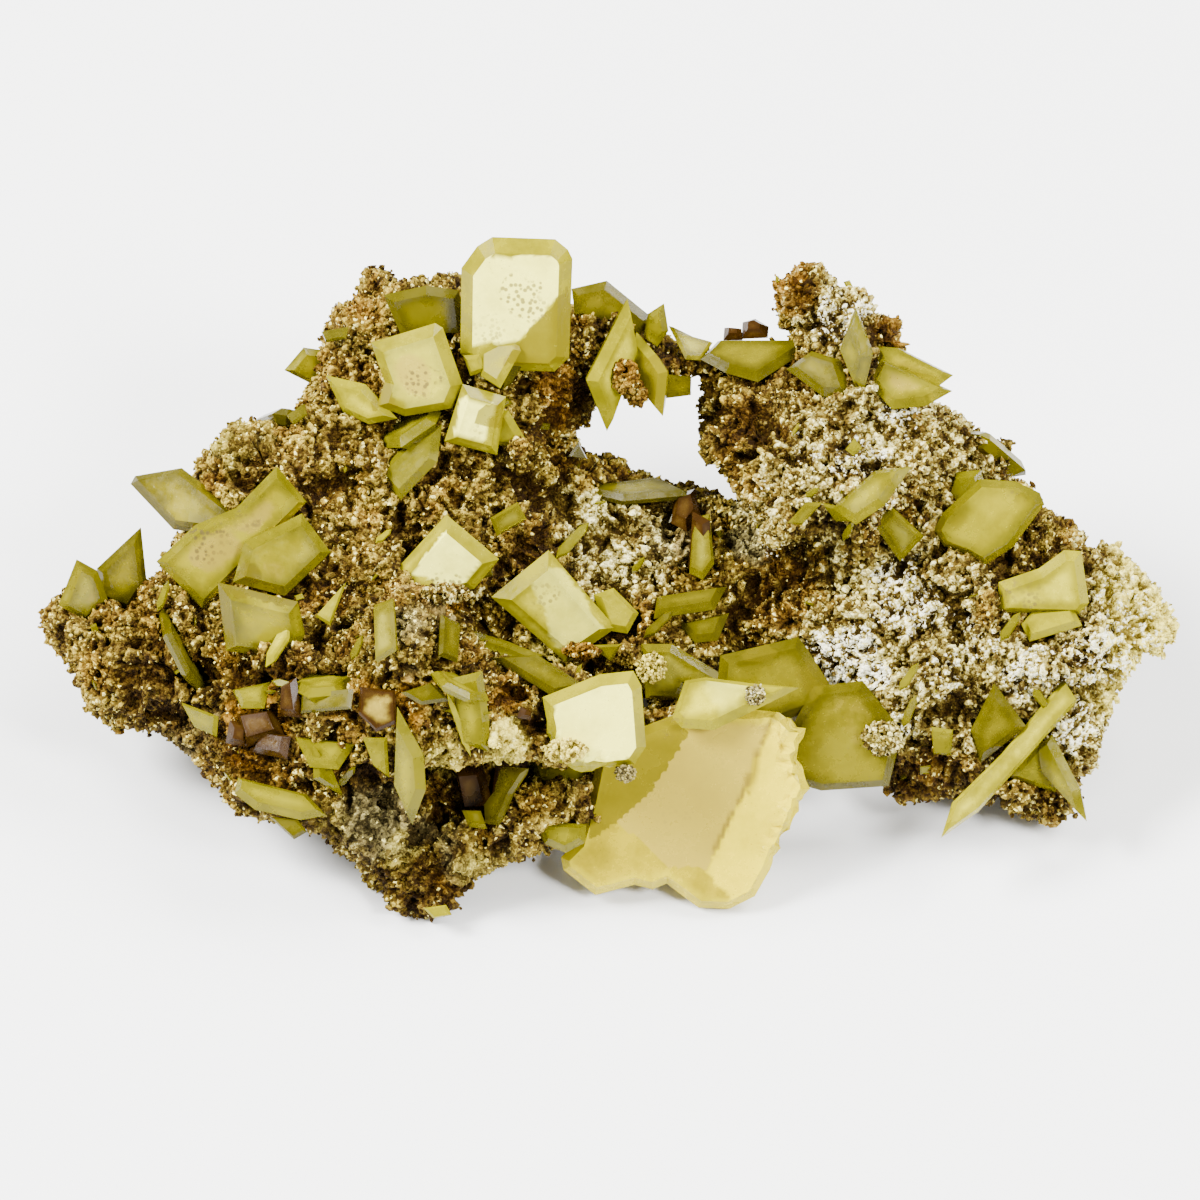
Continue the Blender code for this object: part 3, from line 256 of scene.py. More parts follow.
# Tufts and lumps of grains that sit on crystals: place, half width and height, grains, grain size in
# millimetres, and how they are stained.
TUFTS = {
    "pale_tuft": ((13.5, 20.2), (0.95, 0.95), 260, 0.15, {"pale": 1, "grey": 0.6, "white": 0.5}),
    "cream_tuft": ((4.5, 22.5), (1.35, 1.4), 420, 0.17, {"cream": 1}),
    "grey_tuft": ((2.2, 13.4), (0.95, 0.8), 240, 0.14, {"grey": 1}),
    "lozenge_lump": ((2.2, 48), (1.2, 1.5), 420, 0.26, {"rust": 0.6}),
    "lozenge_lower_lump": ((3.2, 46.4), (0.9, 1.1), 240, 0.26, {"rust": 0.6}),
    "bright_plate_lump": ((-3, 15.4), (1.9, 1), 320, 0.24, {"cream": 0.8}),
    "bright_plate_dirt": ((-1.6, 24), (1.7, 0.7), 260, 0.22, {"rust": 0.5}),
    "centre_square_lump": ((-13.4, 29), (2.2, 0.9), 360, 0.24, {"pale": 0.4}),
    "top_plate_lump": ((-1.2, 50.4), (1.1, 0.9), 220, 0.24, {"rust": 0.3}),
    "pale_green_lump": ((24.6, 16.4), (1.8, 1.5), 520, 0.24, {"pale": 0.8, "cream": 0.3}),
    "upper_foot_lump": ((-7, 41.6), (1, 1.1), 240, 0.24, {}),
}

# Small plates: outline, root, lift, thickness, finish.
SMALL_PLATES = {
    "arm_small_plate": (
        ((-36.5, 19.5), (-33.2, 18.3), (-33.4, 16.5), (-35.2, 17.3)), (-35, 19.5), 1.2, 0.6, "yellow"),
    "front_short_leaf": (
        ((-20.6, 16.5), (-18.5, 16.5), (-18.3, 13), (-19.6, 14)), (-19.5, 17), 1, 0.6, "yellow"),
    "centre_small_plate": (
        ((-9.6, 35.6), (-7.2, 37), (-6.4, 35.5), (-9, 34)), (-8, 34), 1.4, 0.6, "grey_green"),
    "right_tiny_plate": (
        ((28.9, 17.4), (30.8, 17.1), (30.6, 14.9), (29.1, 15)), (30, 14.9), 1.2, 0.6, "yellow"),
    "left_low_sliver": (((-22.1, 30), (-24.8, 27), (-23.5, 26.2)), (-24.3, 26.3), 1.6, 0.6, "milky"),
    "lens_olive_bit": (
        ((-28.8, 9.6), (-26.6, 7.6), (-25.5, 8.3), (-26.3, 9.4)), (-27, 9.6), 0.8, 0.6, "olive"),
    "upper_foot_sliver": (((-17.8, 41.9), (-15, 43.4), (-14.6, 42.2)), (-15, 42.2), 1.2, 0.7, "olive"),
    "upper_rim_flake": (((-24.4, 51.9), (-22, 52.3), (-22.2, 51.3), (-24, 51)), (-23, 51), 1, 0.5, "olive"),
    "left_rim_flake": (
        ((-27.4, 44.5), (-25.8, 45.6), (-25.6, 44.6), (-26.8, 43.8)), (-26, 44), 0.8, 0.5, "olive"),
    # A small block with the milky finish, standing where a facet of an olive block shows a highlight: painted
    # highlight.
    "white_faced_block": (
        ((-12, 49.8), (-10.5, 49.9), (-9.8, 48.5), (-11.3, 48)), (-11, 48), 1.4, 0.9, "milky"),
    "bridge_grey_plate": (
        ((6, 52.5), (8, 51.4), (9.9, 51), (8.8, 49.4), (7.5, 49.5)), (8.5, 49.8), 1, 0.6, "grey_green"),
    "window_side_plate": (((5.6, 48.2), (8, 48), (8, 46.4), (5.6, 46.1)), (8.2, 48), 0.3, 0.7, "olive"),
    "rim_block_left": (
        ((10.8, 51.2), (10.9, 52.3), (12.4, 52.2), (12.5, 51.2)), (11.8, 51), 0.3, 1.3, "brown"),
    "rim_block_right": (
        ((12.4, 51.3), (12.5, 52.8), (13.6, 53.1), (14.8, 52.4), (14.7, 51.4)), (13.5, 51), 0.4, 1.4,
        "brown"),
    "slope_tiny_leaf": (((-2.8, 41), (-1.9, 42.3), (-1.1, 40.8)), (-2, 40.9), 0.8, 0.5, "olive"),
    "ledge_tiny_plate": (
        ((21.4, 41.6), (22.2, 42.6), (22.9, 41.7), (22.1, 41)), (22, 41.2), 0.6, 0.5, "yellow"),
    "valley_brown_slab": (
        ((6.2, 35.2), (6.6, 37.6), (8.3, 38.2), (8.8, 36), (7.6, 34.4)), (7.4, 34.8), 1, 1.4, "brown"),
    "valley_pale_slab": (
        ((7.8, 30.8), (8.2, 35.6), (9.6, 36), (10, 31.6), (9, 30.2)), (8.8, 30.4), 1.4, 1, "grey_green"),
    "fan_foot_plate": (((-0.9, 24.5), (1.9, 24.6), (1, 23.1)), (0.5, 23.4), 1.2, 0.6, "grey_green"),
    "knot_pale_plate": (
        ((-19.4, 23), (-19.5, 28), (-18, 28.6), (-17.6, 24)), (-18, 23.5), 1.6, 0.7, "grey_green"),
    "knot_right_plate": (
        ((-14, 23.6), (-13.8, 27.2), (-12.2, 26.4), (-12.4, 23)), (-13, 23.4), 1, 0.7, "olive"),
    "knot_foot_plate": (
        ((-17.3, 20.5), (-15.5, 19.2), (-13, 19.8), (-14.6, 21.2)), (-15, 21), 1.2, 0.7, "olive"),
    "under_pale_flake": (
        ((-12, 10.2), (-10.4, 10), (-9.8, 8.6), (-11.4, 8.6)), (-10.6, 9.8), 0.8, 0.6, "grey_green"),
    "foot_tip_flake": (
        ((-15.4, 1.6), (-13.4, 1.9), (-12.9, 1), (-14.5, 0.7)), (-14.2, 1.8), 0.2, 0.5, "milky"),
    "red_brown_bit": (((-7.2, 18.2), (-6.9, 19.2), (-5.9, 19), (-6, 18)), (-6.5, 18.2), 0.4, 0.9, "brown"),
    "arm_brown_block": (
        ((-32.6, 16), (-32.2, 18), (-30.4, 17.6), (-30.6, 15.6)), (-31.4, 16), 0.5, 1.5, "brown"),
    "arm_brown_chip": (
        ((-30.3, 15.2), (-29.4, 17), (-26.9, 16.6), (-27.2, 14.6)), (-28.6, 16.6), 0.5, 1.2, "brown"),
    "ridge_brown_block": (
        ((-27.7, 18.4), (-27.6, 21.2), (-26.4, 21.7), (-25.9, 18.2)), (-26.8, 18.4), 0.6, 1.2, "brown"),
    "ridge_pale_bar": (
        ((-26, 18.6), (-25.9, 20.2), (-21.4, 20.7), (-21.6, 19)), (-24, 20.8), 0.2, 0.6, "olive"),
    "ridge_tan_plate": (
        ((-20.8, 20.9), (-17.8, 20.6), (-17.6, 17.8), (-19.4, 17), (-21, 18.6)), (-19.5, 20.8), 0.6, 0.5,
        "brown"),
    "cave_yellow_blade": (
        ((-8.4, 14), (-6.2, 13.8), (-7.6, 11.6), (-8.8, 8.8), (-10, 9), (-10.1, 10.4), (-9, 11.8)),
        (-7.3, 14.2), 0.4, 0.8, "olive"),
    "top_foot_level_blade": (
        ((-10.3, 50), (-9.9, 51.1), (-7.4, 50.8), (-7, 50), (-8.5, 49.2)), (-8, 49.6), 1.4, 0.6, "olive"),
    "ledge_pale_blade": (
        ((16.3, 35.1), (18, 37), (19.4, 36.9), (17.6, 35)), (16.8, 35.2), 1, 0.6, "grey_green"),
    "ledge_side_blade": (
        ((19.3, 36.8), (21.4, 36.6), (22.4, 35.2), (20.6, 35.4)), (20.4, 35.6), 1, 0.5, "yellow"),
}
# Small blades: start, end, width, lift, thickness, finish.
SMALL_BLADES = {
    "left_thin_sliver": ((-27, 26.2), (-29.1, 22.6), 1, 1.4, 0.5, "milky"),
    "upper_foot_blade": ((-8.6, 46.8), (-6.3, 50.4), 0.9, 1, 0.5, "olive"),
    "slope_leaf": ((-3.9, 32), (-0.9, 35.3), 1, 1.2, 0.5, "yellow"),
    "slope_chip": ((2.8, 30.8), (3.9, 32.2), 0.6, 0.8, 0.4, "yellow"),
    "valley_blade": ((3.8, 25.1), (6.5, 27.6), 0.9, 1, 0.5, "olive"),
    "shelf_blade_upright": ((-11.2, 14.8), (-13.3, 20.6), 0.6, 1.4, 0.4, "milky"),
    "shelf_blade_level": ((-13.7, 18.9), (-9.3, 18.6), 0.6, 1.2, 0.4, "yellow"),
    "ledge_chip": ((17.9, 37.4), (19.1, 38.2), 0.6, 0.6, 0.4, "yellow"),
    "ledge_drop_blade": ((21.2, 33.6), (22.1, 35.4), 0.6, 0.6, 0.4, "yellow"),
    "right_leaf": ((34.9, 24.8), (36.7, 27.4), 0.9, 1.4, 0.5, "yellow"),
    "floor_upper_sliver": ((26.1, 20.5), (27.8, 23), 0.8, 1.2, 0.5, "yellow"),
    "floor_lower_sliver": ((26.4, 17.3), (27.6, 20.2), 0.8, 1.2, 0.5, "grey_green"),
    "corner_chip": ((37.8, 20.7), (39.2, 18.8), 0.8, 1, 0.5, "yellow"),
    "arm_chip": ((-38.6, 27.4), (-37.6, 30.2), 0.7, 1, 0.5, "yellow"),
    "slope_pale_chip": ((-19.6, 33.4), (-18.2, 34.6), 0.6, 0.8, 0.4, "milky"),
    "ridge_pale_chip": ((-21.6, 23.2), (-20.6, 25.4), 0.7, 0.8, 0.4, "grey_green"),
    "ridge_yellow_chip": ((-28.6, 21.4), (-26, 20.8), 0.7, 1, 0.4, "yellow"),
    "lip_chip": ((-22.8, 12.2), (-21.2, 14), 0.7, 1, 0.4, "olive"),
}


def noise_hash(cells, salt):
    """Numbers from 0 to 1 for whole-numbered cells: the cell's three numbers are mixed by multiplying
    each with a large odd number, and then scrambled by shifts and products."""
    mixed = cells[..., 0] * 73856093 ^ cells[..., 1] * 19349663 ^ cells[..., 2] * 83492791
    mixed = mixed ^ (salt * 2654435761)
    mixed = (mixed ^ (mixed >> 15)) * 2246822519 & 0xFFFFFFFF
    mixed = (mixed ^ (mixed >> 13)) * 3266489917 & 0xFFFFFFFF
    return ((mixed ^ (mixed >> 16)) & 0xFFFFFF) / 0xFFFFFF


def cloud_noise(points, size, salt, octaves=1):
    """Smooth noise from 0 to 1: the hash at the eight corners of each point's cell, blended with a
    smooth step along each axis. Each further octave is half as large and half as strong."""
    total, weight, share = np.zeros(len(points)), 0.0, 1.0
    for octave in range(octaves):
        scaled = points / size * 2**octave
        cell = np.floor(scaled).astype(np.int64)
        part = scaled - cell
        part = part * part * (3 - 2 * part)
        value = np.zeros(len(points))
        for corner in np.ndindex(2, 2, 2):
            step = np.array(corner)
            blend = np.prod(np.where(step, part, 1 - part), axis=1)
            value += blend * noise_hash(cell + step, salt + octave)
        total += share * value
        weight += share
        share /= 2
    return total / weight


def grain_noise(points, size, salt):
    """Cells of that size: each cell holds one seed at a hashed place. Gives each point's distance to
    its nearest seed and to the next one, in cells, and the nearest seed's own number."""
    scaled = points / size
    cell = np.floor(scaled).astype(np.int64)
    first = np.full(len(points), 9.0)
    second = np.full(len(points), 9.0)
    label = np.zeros(len(points))
    for offset in np.ndindex(3, 3, 3):
        near = cell + np.array(offset) - 1
        seed = near + np.stack([noise_hash(near, salt + k) for k in range(3)], axis=1)
        gap = np.linalg.norm(seed - scaled, axis=1)
        closer = gap < first
        second = np.where(closer, first, np.minimum(second, gap))
        label = np.where(closer, noise_hash(near, salt + 3), label)
        first = np.where(closer, gap, first)
    return first, second, label


def smooth_step(low, high, values):
    """0 below low, 1 above high, and an S-curve between them."""
    share = np.clip((values - low) / (high - low), 0, 1)
    return share * share * (3 - 2 * share)


def wander(points, size, salts):
    """A smooth random way for each point, from -0.5 to 0.5 along each of three axes."""
    return np.stack([cloud_noise(points, size, salt, 3) for salt in salts], axis=1) - 0.5


def unit_rows(rows):
    """Each row made one long."""
    return rows / np.linalg.norm(rows, axis=1)[:, None]


def lift_to_floor(points):
    """Raises what lies below the floor up to it."""
    points[:, 2] = np.maximum(points[:, 2], 0.0)


def sheet_places(points_mm):
    """Where points in the row frame are seen: how far across, how far up."""
    moved = points_mm - SHEET_ORIGIN_MM
    return np.stack([moved @ RIGHT, moved @ UP], axis=1)


def from_sheet(across, up, toward):
    """The place in the row frame, in millimetres, that is seen at (across, up)."""
    return RIGHT * across + UP * up + TOWARD * toward + SHEET_ORIGIN_MM


def patch_mask(places, patches, ragged):
    """The strongest of the patches at each place: 1 at a patch's middle, falling to 0 past its
    radius, with its outline moved in and out by the ragged noise."""
    mask = np.zeros(len(places))
    for across, up, radius, amount in patches:
        gap = np.linalg.norm(places - np.array([across, up]), axis=1) / radius
        mask = np.maximum(mask, amount * (1 - smooth_step(0.55, 1.35, gap + (ragged - 0.5) * 1.3)))
    return mask


def inside_outline(places, outline):
    """Whether each place lies inside the outline: a line from it to the right crosses the outline's
    sides an odd number of times."""
    odd = np.zeros(len(places), bool)
    corners = np.array(outline)
    for start, end in zip(corners, np.roll(corners, -1, axis=0)):
        spans = (start[1] > places[:, 1]) != (end[1] > places[:, 1])
        rise = end[1] - start[1] if end[1] != start[1] else 1e-9
        crossing = start[0] + (places[:, 1] - start[1]) / rise * (end[0] - start[0])
        odd ^= spans & (places[:, 0] < crossing)
    return odd


def zone_mask(places, zones, kind):
    """The strongest zone of that kind at each place."""
    mask = np.zeros(len(places))
    for label, amount, outline in zones:
        if label == kind:
            mask = np.maximum(mask, amount * inside_outline(places, outline))
    return mask


def line_mask(places, lines, width):
    """1 on the lines, falling to 0 at that width from them."""
    mask = np.zeros(len(places))
    for start, end in lines:
        start, side = np.array(start), np.array(end) - np.array(start)
        share = np.clip((places - start) @ side / (side @ side), 0, 1)
        gap = np.linalg.norm(places - start - share[:, None] * side, axis=1)
        mask = np.maximum(mask, 1 - smooth_step(0.3 * width, width, gap))
    return mask


def read_points(mesh):
    values = np.empty(len(mesh.vertices) * 3)
    mesh.vertices.foreach_get("co", values)
    return values.reshape(-1, 3)


def read_normals(mesh):
    values = np.empty(len(mesh.vertices) * 3, np.float32)
    mesh.vertex_normals.foreach_get("vector", values)
    return values.reshape(-1, 3).astype(float)


def write_attribute(mesh, name, values, domain="POINT"):
    layer = mesh.attributes.new(name, "FLOAT", domain)
    layer.data.foreach_set("value", np.asarray(values, np.float32))


def new_object(name, mesh):
    obj = bpy.data.objects.new(name, mesh)
    bpy.context.scene.collection.objects.link(obj)
    return obj


def add_piece(mesh, material, node=None):
    """Makes a finished mesh a piece of the specimen, which may stand for one of the solids."""
    mesh.materials.append(material)
    piece = new_object(mesh.name, mesh)
    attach(piece, "root")
    if node:
        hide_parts(node)


def merged_solid(node):
    """A node's solid with its loose triangles joined along their edges."""
    bm = bmesh.new()
    bm.from_mesh(FRAME["nodes"][node].data)
    bmesh.ops.remove_doubles(bm, verts=bm.verts, dist=1e-6)
    return bm


def mesh_of(bm, name):
    """A new mesh of what the bmesh holds, which is freed."""
    mesh = bpy.data.meshes.new(name)
    bm.to_mesh(mesh)
    bm.free()
    return mesh


def finished_mesh(obj):
    """The mesh that an object's modifiers leave."""
    graph = bpy.context.evaluated_depsgraph_get()
    return bpy.data.meshes.new_from_object(obj.evaluated_get(graph), depsgraph=graph)


def crystal_nodes():
    return [name for name in FRAME["nodes"] if name != "matrix"]


def rock_parts():
    """The pieces of the rock's surface, without its loose grains."""
    return [o for o in bpy.data.objects if o.name.startswith("rock_part")]


def fill_inputs(tree, node, inputs):
    """Links each input to its socket, or sets it to its value. A colour is given without its alpha."""
    for place, value in inputs.items():
        if isinstance(value, bpy.types.NodeSocket):
            tree.links.new(value, node.inputs[place])
        else:
            node.inputs[place].default_value = (*value, 1.0) if isinstance(value, tuple) else value


def add_node(tree, kind, inputs=None, **settings):
    """A new node with its settings and its inputs."""
    node = tree.nodes.new(kind)
    for name, value in settings.items():
        setattr(node, name, value)
    fill_inputs(tree, node, inputs or {})
    return node


def gap_nodes(target):
    """A geometry node tree that keeps each point's distance to the target's surface as gap."""
    tree = bpy.data.node_groups.new("gap_to_crystals", "GeometryNodeTree")
    for way in ("INPUT", "OUTPUT"):
        tree.interface.new_socket("Geometry", in_out=way, socket_type="NodeSocketGeometry")
    enter = add_node(tree, "NodeGroupInput")
    info = add_node(tree, "GeometryNodeObjectInfo", {"Object": target})
    near = add_node(tree, "GeometryNodeProximity", {0: info.outputs["Geometry"]}, target_element="FACES")
    inputs = {"Name": "gap", "Geometry": enter.outputs[0], "Value": near.outputs["Distance"]}
    store = add_node(tree, "GeometryNodeStoreNamedAttribute", inputs, data_type="FLOAT", domain="POINT")
    add_node(tree, "NodeGroupOutput", {0: store.outputs["Geometry"]})
    return tree


def joined_crystals():
    """All crystal solids in one hidden object, which the rock measures its distance to."""
    bm = bmesh.new()
    for node in crystal_nodes():
        bm.from_mesh(FRAME["nodes"][node].data)
    return new_object("crystal_measure", mesh_of(bm, "crystal_measure"))


def fine_rock(voxel, rounding):
    """The rock's solid as one fine, even, slightly rounded mesh that knows its gap to the crystals."""
    rough = new_object("rock_blank", mesh_of(merged_solid("matrix"), "rock_blank"))
    remesh = rough.modifiers.new("even_out", "REMESH")
    remesh.mode = "VOXEL"
    remesh.voxel_size = voxel
    smooth = rough.modifiers.new("round_facets", "SMOOTH")
    smooth.factor = 0.6
    smooth.iterations = rounding
    target = joined_crystals()
    gap = rough.modifiers.new("gap", "NODES")
    gap.node_group = gap_nodes(target)
    mesh = finished_mesh(rough)
    bpy.data.objects.remove(rough)
    bpy.data.objects.remove(target)
    return mesh


def dome(gap, radius):
    """The height of a dome at a distance from its middle: the square root of 1 less the distance's
    square, in radii, and nothing past one radius."""
    return np.sqrt(np.clip(1 - (gap / radius) ** 2, 0, 1))


def rock_relief(points, strength_mm):
    """How far each point of the rock moves out, how high it stands among its neighbours (the level, which
    paints shade into the rock's colour), and its pits.

    Low lumps about 3.4 mm apart carry clumps of 1.2 mm and grains of half a millimetre. Each is a
    dome over its cell's seed, and each clump and grain has its own height. Ridges follow the middle
    values of a cloud noise, pits and small holes go in where coarser and finer noises are high, and
    seams go in along the borders between clumps.
    """
    warp = wander(points, 1.8, (11, 12, 13))
    bent = points + warp * 2.4
    lump, _, _ = grain_noise(bent, 3.4, 21)
    clump, clump_next, clump_label = grain_noise(bent, 1.2, 31)
    grain, _, grain_label = grain_noise(points + warp * 0.5, 0.5, 41)
    clumps = dome(clump, 0.85) * (0.3 + 0.9 * clump_label)
    grains = dome(grain, 0.8) * (0.1 + 1.1 * grain_label)
    ridges = 1 - 2 * np.abs(cloud_noise(bent, 0.95, 101, 3) - 0.5) / 0.5
    porous = cloud_noise(points, 5.5, 51, 3)
    pits = smooth_step(0.5, 0.62, cloud_noise(bent, 1.9, 61, 2)) * smooth_step(0.42, 0.58, porous)
    holes = smooth_step(0.55, 0.66, cloud_noise(bent, 0.8, 81, 2))
    seams = 1 - smooth_step(0.0, 0.2, clump_next - clump)
    rough = cloud_noise(points, 0.5, 91, 2) - 0.5
    raised = 0.36 * dome(lump, 0.95) + 0.3 * clumps + 0.42 * grains + 0.7 * rough + 0.4 * ridges
    sunk = 1.15 * pits + 0.5 * holes + 0.2 * seams
    # The level is painted shade: low in pits, holes and the seams between clumps, high on grains and ridges.
    level = clumps * 0.25 + grains * 0.5 + rough * 0.6 + ridges * 0.25
    level = level - pits * 0.5 - holes * 0.4 - seams * 0.2
    return (raised - sunk - 0.62) * strength_mm, np.clip(level + 0.12, 0, 1), pits


def grain_block():
    """The corners and triangles of one small regular block with twelve corners and twenty faces."""
    bm = bmesh.new()
    bmesh.ops.create_icosphere(bm, subdivisions=1, radius=1.0)
    points = np.array([v.co for v in bm.verts])
    faces = np.array([[v.index for v in f.verts] for f in bm.faces])
    bm.free()
    return points, faces


def random_turns(count, random):
    """One turn for each block, as a 3 by 3 matrix made from a random quaternion."""
    w, x, y, z = unit_rows(random.normal(size=(count, 4))).T
    rows = [
        1 - 2 * (y * y + z * z), 2 * (x * y - z * w), 2 * (x * z + y * w),
        2 * (x * y + z * w), 1 - 2 * (x * x + z * z), 2 * (y * z - x * w),
        2 * (x * z - y * w), 2 * (y * z + x * w), 1 - 2 * (x * x + y * y),
    ]
    return np.stack(rows, axis=1).reshape(count, 3, 3)


def grain_cloud(places, radii, random):
    """Angular grains at those places: each is the twelve-cornered block with its corners moved in
    and out by random shares, stretched along its own axes by random shares, turned at random, and
    scaled to its radius. Gives all corners and all triangles."""
    block, faces = grain_block()
    count = len(places)
    corners = block[None] * random.uniform(0.6, 1.25, (count, len(block), 1))
    corners = corners * random.uniform(0.6, 1.3, (count, 1, 3))
    corners = np.einsum("nij,nkj->nki", random_turns(count, random), corners)
    corners = places[:, None] + corners * radii[:, None, None]
    triangles = faces[None] + (np.arange(count) * len(block))[:, None, None]
    return corners.reshape(-1, 3), triangles.reshape(-1, 3)


def piece_of_mesh(name, points, corners, values, keep=slice(None)):
    """A new mesh of the kept faces alone, with its points' values as attributes."""
    faces = corners[keep]
    used, index = np.unique(faces, return_inverse=True)
    mesh = bpy.data.meshes.new(name)
    mesh.from_pydata(points[used].tolist(), [], index.reshape(faces.shape).tolist())
    for label, column in values.items():
        write_attribute(mesh, label, column[used])
    return mesh


def attribute_node(tree, name):
    """A value that the mesh keeps for each point or face."""
    node = add_node(tree, "ShaderNodeAttribute", attribute_type="GEOMETRY", attribute_name=name)
    return node.outputs["Fac"]


def mixed(tree, factor, first, second, blend="MIX"):
    """A colour mix: the factor and either colour may be a socket or a value."""
    inputs = {0: factor, 6: first, 7: second}
    return add_node(tree, "ShaderNodeMix", inputs, data_type="RGBA", blend_type=blend).outputs[2]


def computed(tree, operation, *values):
    """One step of arithmetic on sockets and values."""
    return add_node(tree, "ShaderNodeMath", dict(enumerate(values)), operation=operation).outputs[0]


def total(tree, first, *others):
    """The sum of sockets and values."""
    for value in others:
        first = computed(tree, "ADD", first, value)
    return first


def product(tree, first, *others):
    """The product of sockets and values."""
    for value in others:
        first = computed(tree, "MULTIPLY", first, value)
    return first


def around_zero(tree, value, strength):
    """A value from 0 to 1 less one half, times the strength."""
    return product(tree, computed(tree, "SUBTRACT", value, 0.5), strength)


def ranged(tree, value, low, high, out_low=0.0, out_high=1.0):
    """An S-curve from one value to another, where the given value goes from low to high."""
    inputs = {"Value": value, "From Min": low, "From Max": high, "To Min": out_low, "To Max": out_high}
    return add_node(tree, "ShaderNodeMapRange", inputs, interpolation_type="SMOOTHSTEP").outputs["Result"]


def place_node(tree):
    """The place on the specimen, in metres."""
    return add_node(tree, "ShaderNodeTexCoord").outputs["Object"]


def noise_node(tree, scale, detail, roughness=0.6):
    inputs = {"Vector": place_node(tree), "Scale": scale, "Detail": detail, "Roughness": roughness}
    return add_node(tree, "ShaderNodeTexNoise", inputs).outputs["Fac"]


def cell_node(tree, scale):
    return add_node(tree, "ShaderNodeTexVoronoi", {"Vector": place_node(tree), "Scale": scale}).outputs


def bump_node(tree, height, strength, distance):
    inputs = {"Strength": strength, "Distance": distance, "Height": height}
    return add_node(tree, "ShaderNodeBump", inputs).outputs["Normal"]


def new_material(name):
    material = bpy.data.materials.new(name)
    material.use_nodes = True
    return material, material.node_tree, material.node_tree.nodes["Principled BSDF"]


def ramp(tree, factor, *stops):
    """A run of colours: each stop is a place from 0 to 1 and its colour."""
    node = add_node(tree, "ShaderNodeValToRGB", {"Fac": factor})
    elements = node.color_ramp.elements
    stops = [(place, (*shade, 1.0)) for place, shade in stops]
    elements[0].position, elements[0].color = stops[0]
    elements[1].position, elements[1].color = stops[-1]
    for place, shade in stops[1:-1]:
        elements.new(place).color = shade
    return node.outputs["Color"]


def rock_material(settings):
    """Crusted limonite: golden grain tips over dark brown pits, stained white, cream, grey and rust.

    How light a grain is comes from its height in the crust and from numbers of its own: the height paints
    shade into the low places down to the near-black pit colour and paints light onto the high tips.
    """
    material, tree, shader = new_material("limonite_crust")
    fine = noise_node(tree, settings.grains_per_m * 1.2, 3.0)
    cells = cell_node(tree, settings.grains_per_m)
    each = add_node(tree, "ShaderNodeSeparateColor", {"Color": cells["Color"]}).outputs
    level = attribute_node(tree, "level")
    shade = total(tree, level, around_zero(tree, each[0], 0.6), around_zero(tree, fine, 1.0))
    broad = noise_node(tree, 140.0, 4.0)
    pit_shade = settings.pit_shade_colour
    # Painted shade and light: the ramp runs from the pit shade colour in the low places to the golden tips on
    # the high ones, over the grains' own brown and ochre.
    body = ramp(
        tree, shade, (0.0, pit_shade), (0.30, settings.brown_colour), (0.68, settings.ochre_colour),
        (1.0, settings.golden_colour))
    dull = ramp(
        tree, shade, (0.0, pit_shade), (0.4, (0.038, 0.020, 0.002)), (0.72, (0.10, 0.062, 0.006)),
        (1.0, (0.26, 0.185, 0.022)))
    warm = ramp(
        tree, shade, (0.0, pit_shade), (0.35, (0.060, 0.028, 0.003)), (0.75, (0.19, 0.108, 0.012)),
        (1.0, (0.40, 0.27, 0.03)))
    pale = ramp(
        tree, shade, (0.0, (0.02, 0.011, 0.002)), (0.32, (0.08, 0.050, 0.007)), (0.58, (0.25, 0.195, 0.04)),
        (0.82, (0.50, 0.44, 0.15)), (1.0, (0.85, 0.77, 0.36)))
    body = mixed(tree, ranged(tree, broad, 0.44, 0.62), body, dull)
    body = mixed(tree, ranged(tree, noise_node(tree, 210.0, 4.0), 0.5, 0.62, 0.0, 0.85), body, warm)
    ragged = around_zero(tree, broad, 1.4)
    paleness = total(tree, attribute_node(tree, "pale"), ragged, around_zero(tree, each[1], 0.7))
    body = mixed(tree, ranged(tree, paleness, 0.3, 0.7), body, pale)
    for name, low, high, reach in (
        ("rust", (0.04, 0.015, 0.001), (0.24, 0.11, 0.008), 0.7),
        ("grey", (0.05, 0.038, 0.012), (0.32, 0.27, 0.10), 0.8),
        ("cream", (0.16, 0.11, 0.012), (0.85, 0.72, 0.12), 0.85),
    ):
        amount = total(tree, attribute_node(tree, name), ragged)
        stain = ramp(tree, shade, (0.1, low), (0.85, high))
        body = mixed(tree, ranged(tree, amount, 0.25, 0.75, 0.0, reach), body, stain)
    flake = total(tree, attribute_node(tree, "white"), product(tree, each[1], 0.7), ragged)
    flake = product(tree, ranged(tree, flake, 1.08, 1.16), ranged(tree, shade, 0.25, 0.5))
    body = mixed(tree, flake, body, (0.92, 0.90, 0.66))
    # Painted glints: a few grains get a bright base colour as painted highlights, and a lower roughness.
    painted_glint = product(tree, ranged(tree, each[2], 0.92, 0.94), ranged(tree, shade, 0.35, 0.55))
    body = mixed(tree, painted_glint, body, (0.85, 0.74, 0.22))
    height = total(tree, fine, product(tree, cells["Distance"], -1.0))
    fill_inputs(tree, shader, {
        "Base Color": body,
        "Roughness": ranged(tree, painted_glint, 0.0, 1.0, 0.8, 0.25),
        "Specular IOR Level": 0.1,
        "Normal": bump_node(tree, height, 0.9, 0.0003),
    })
    return material


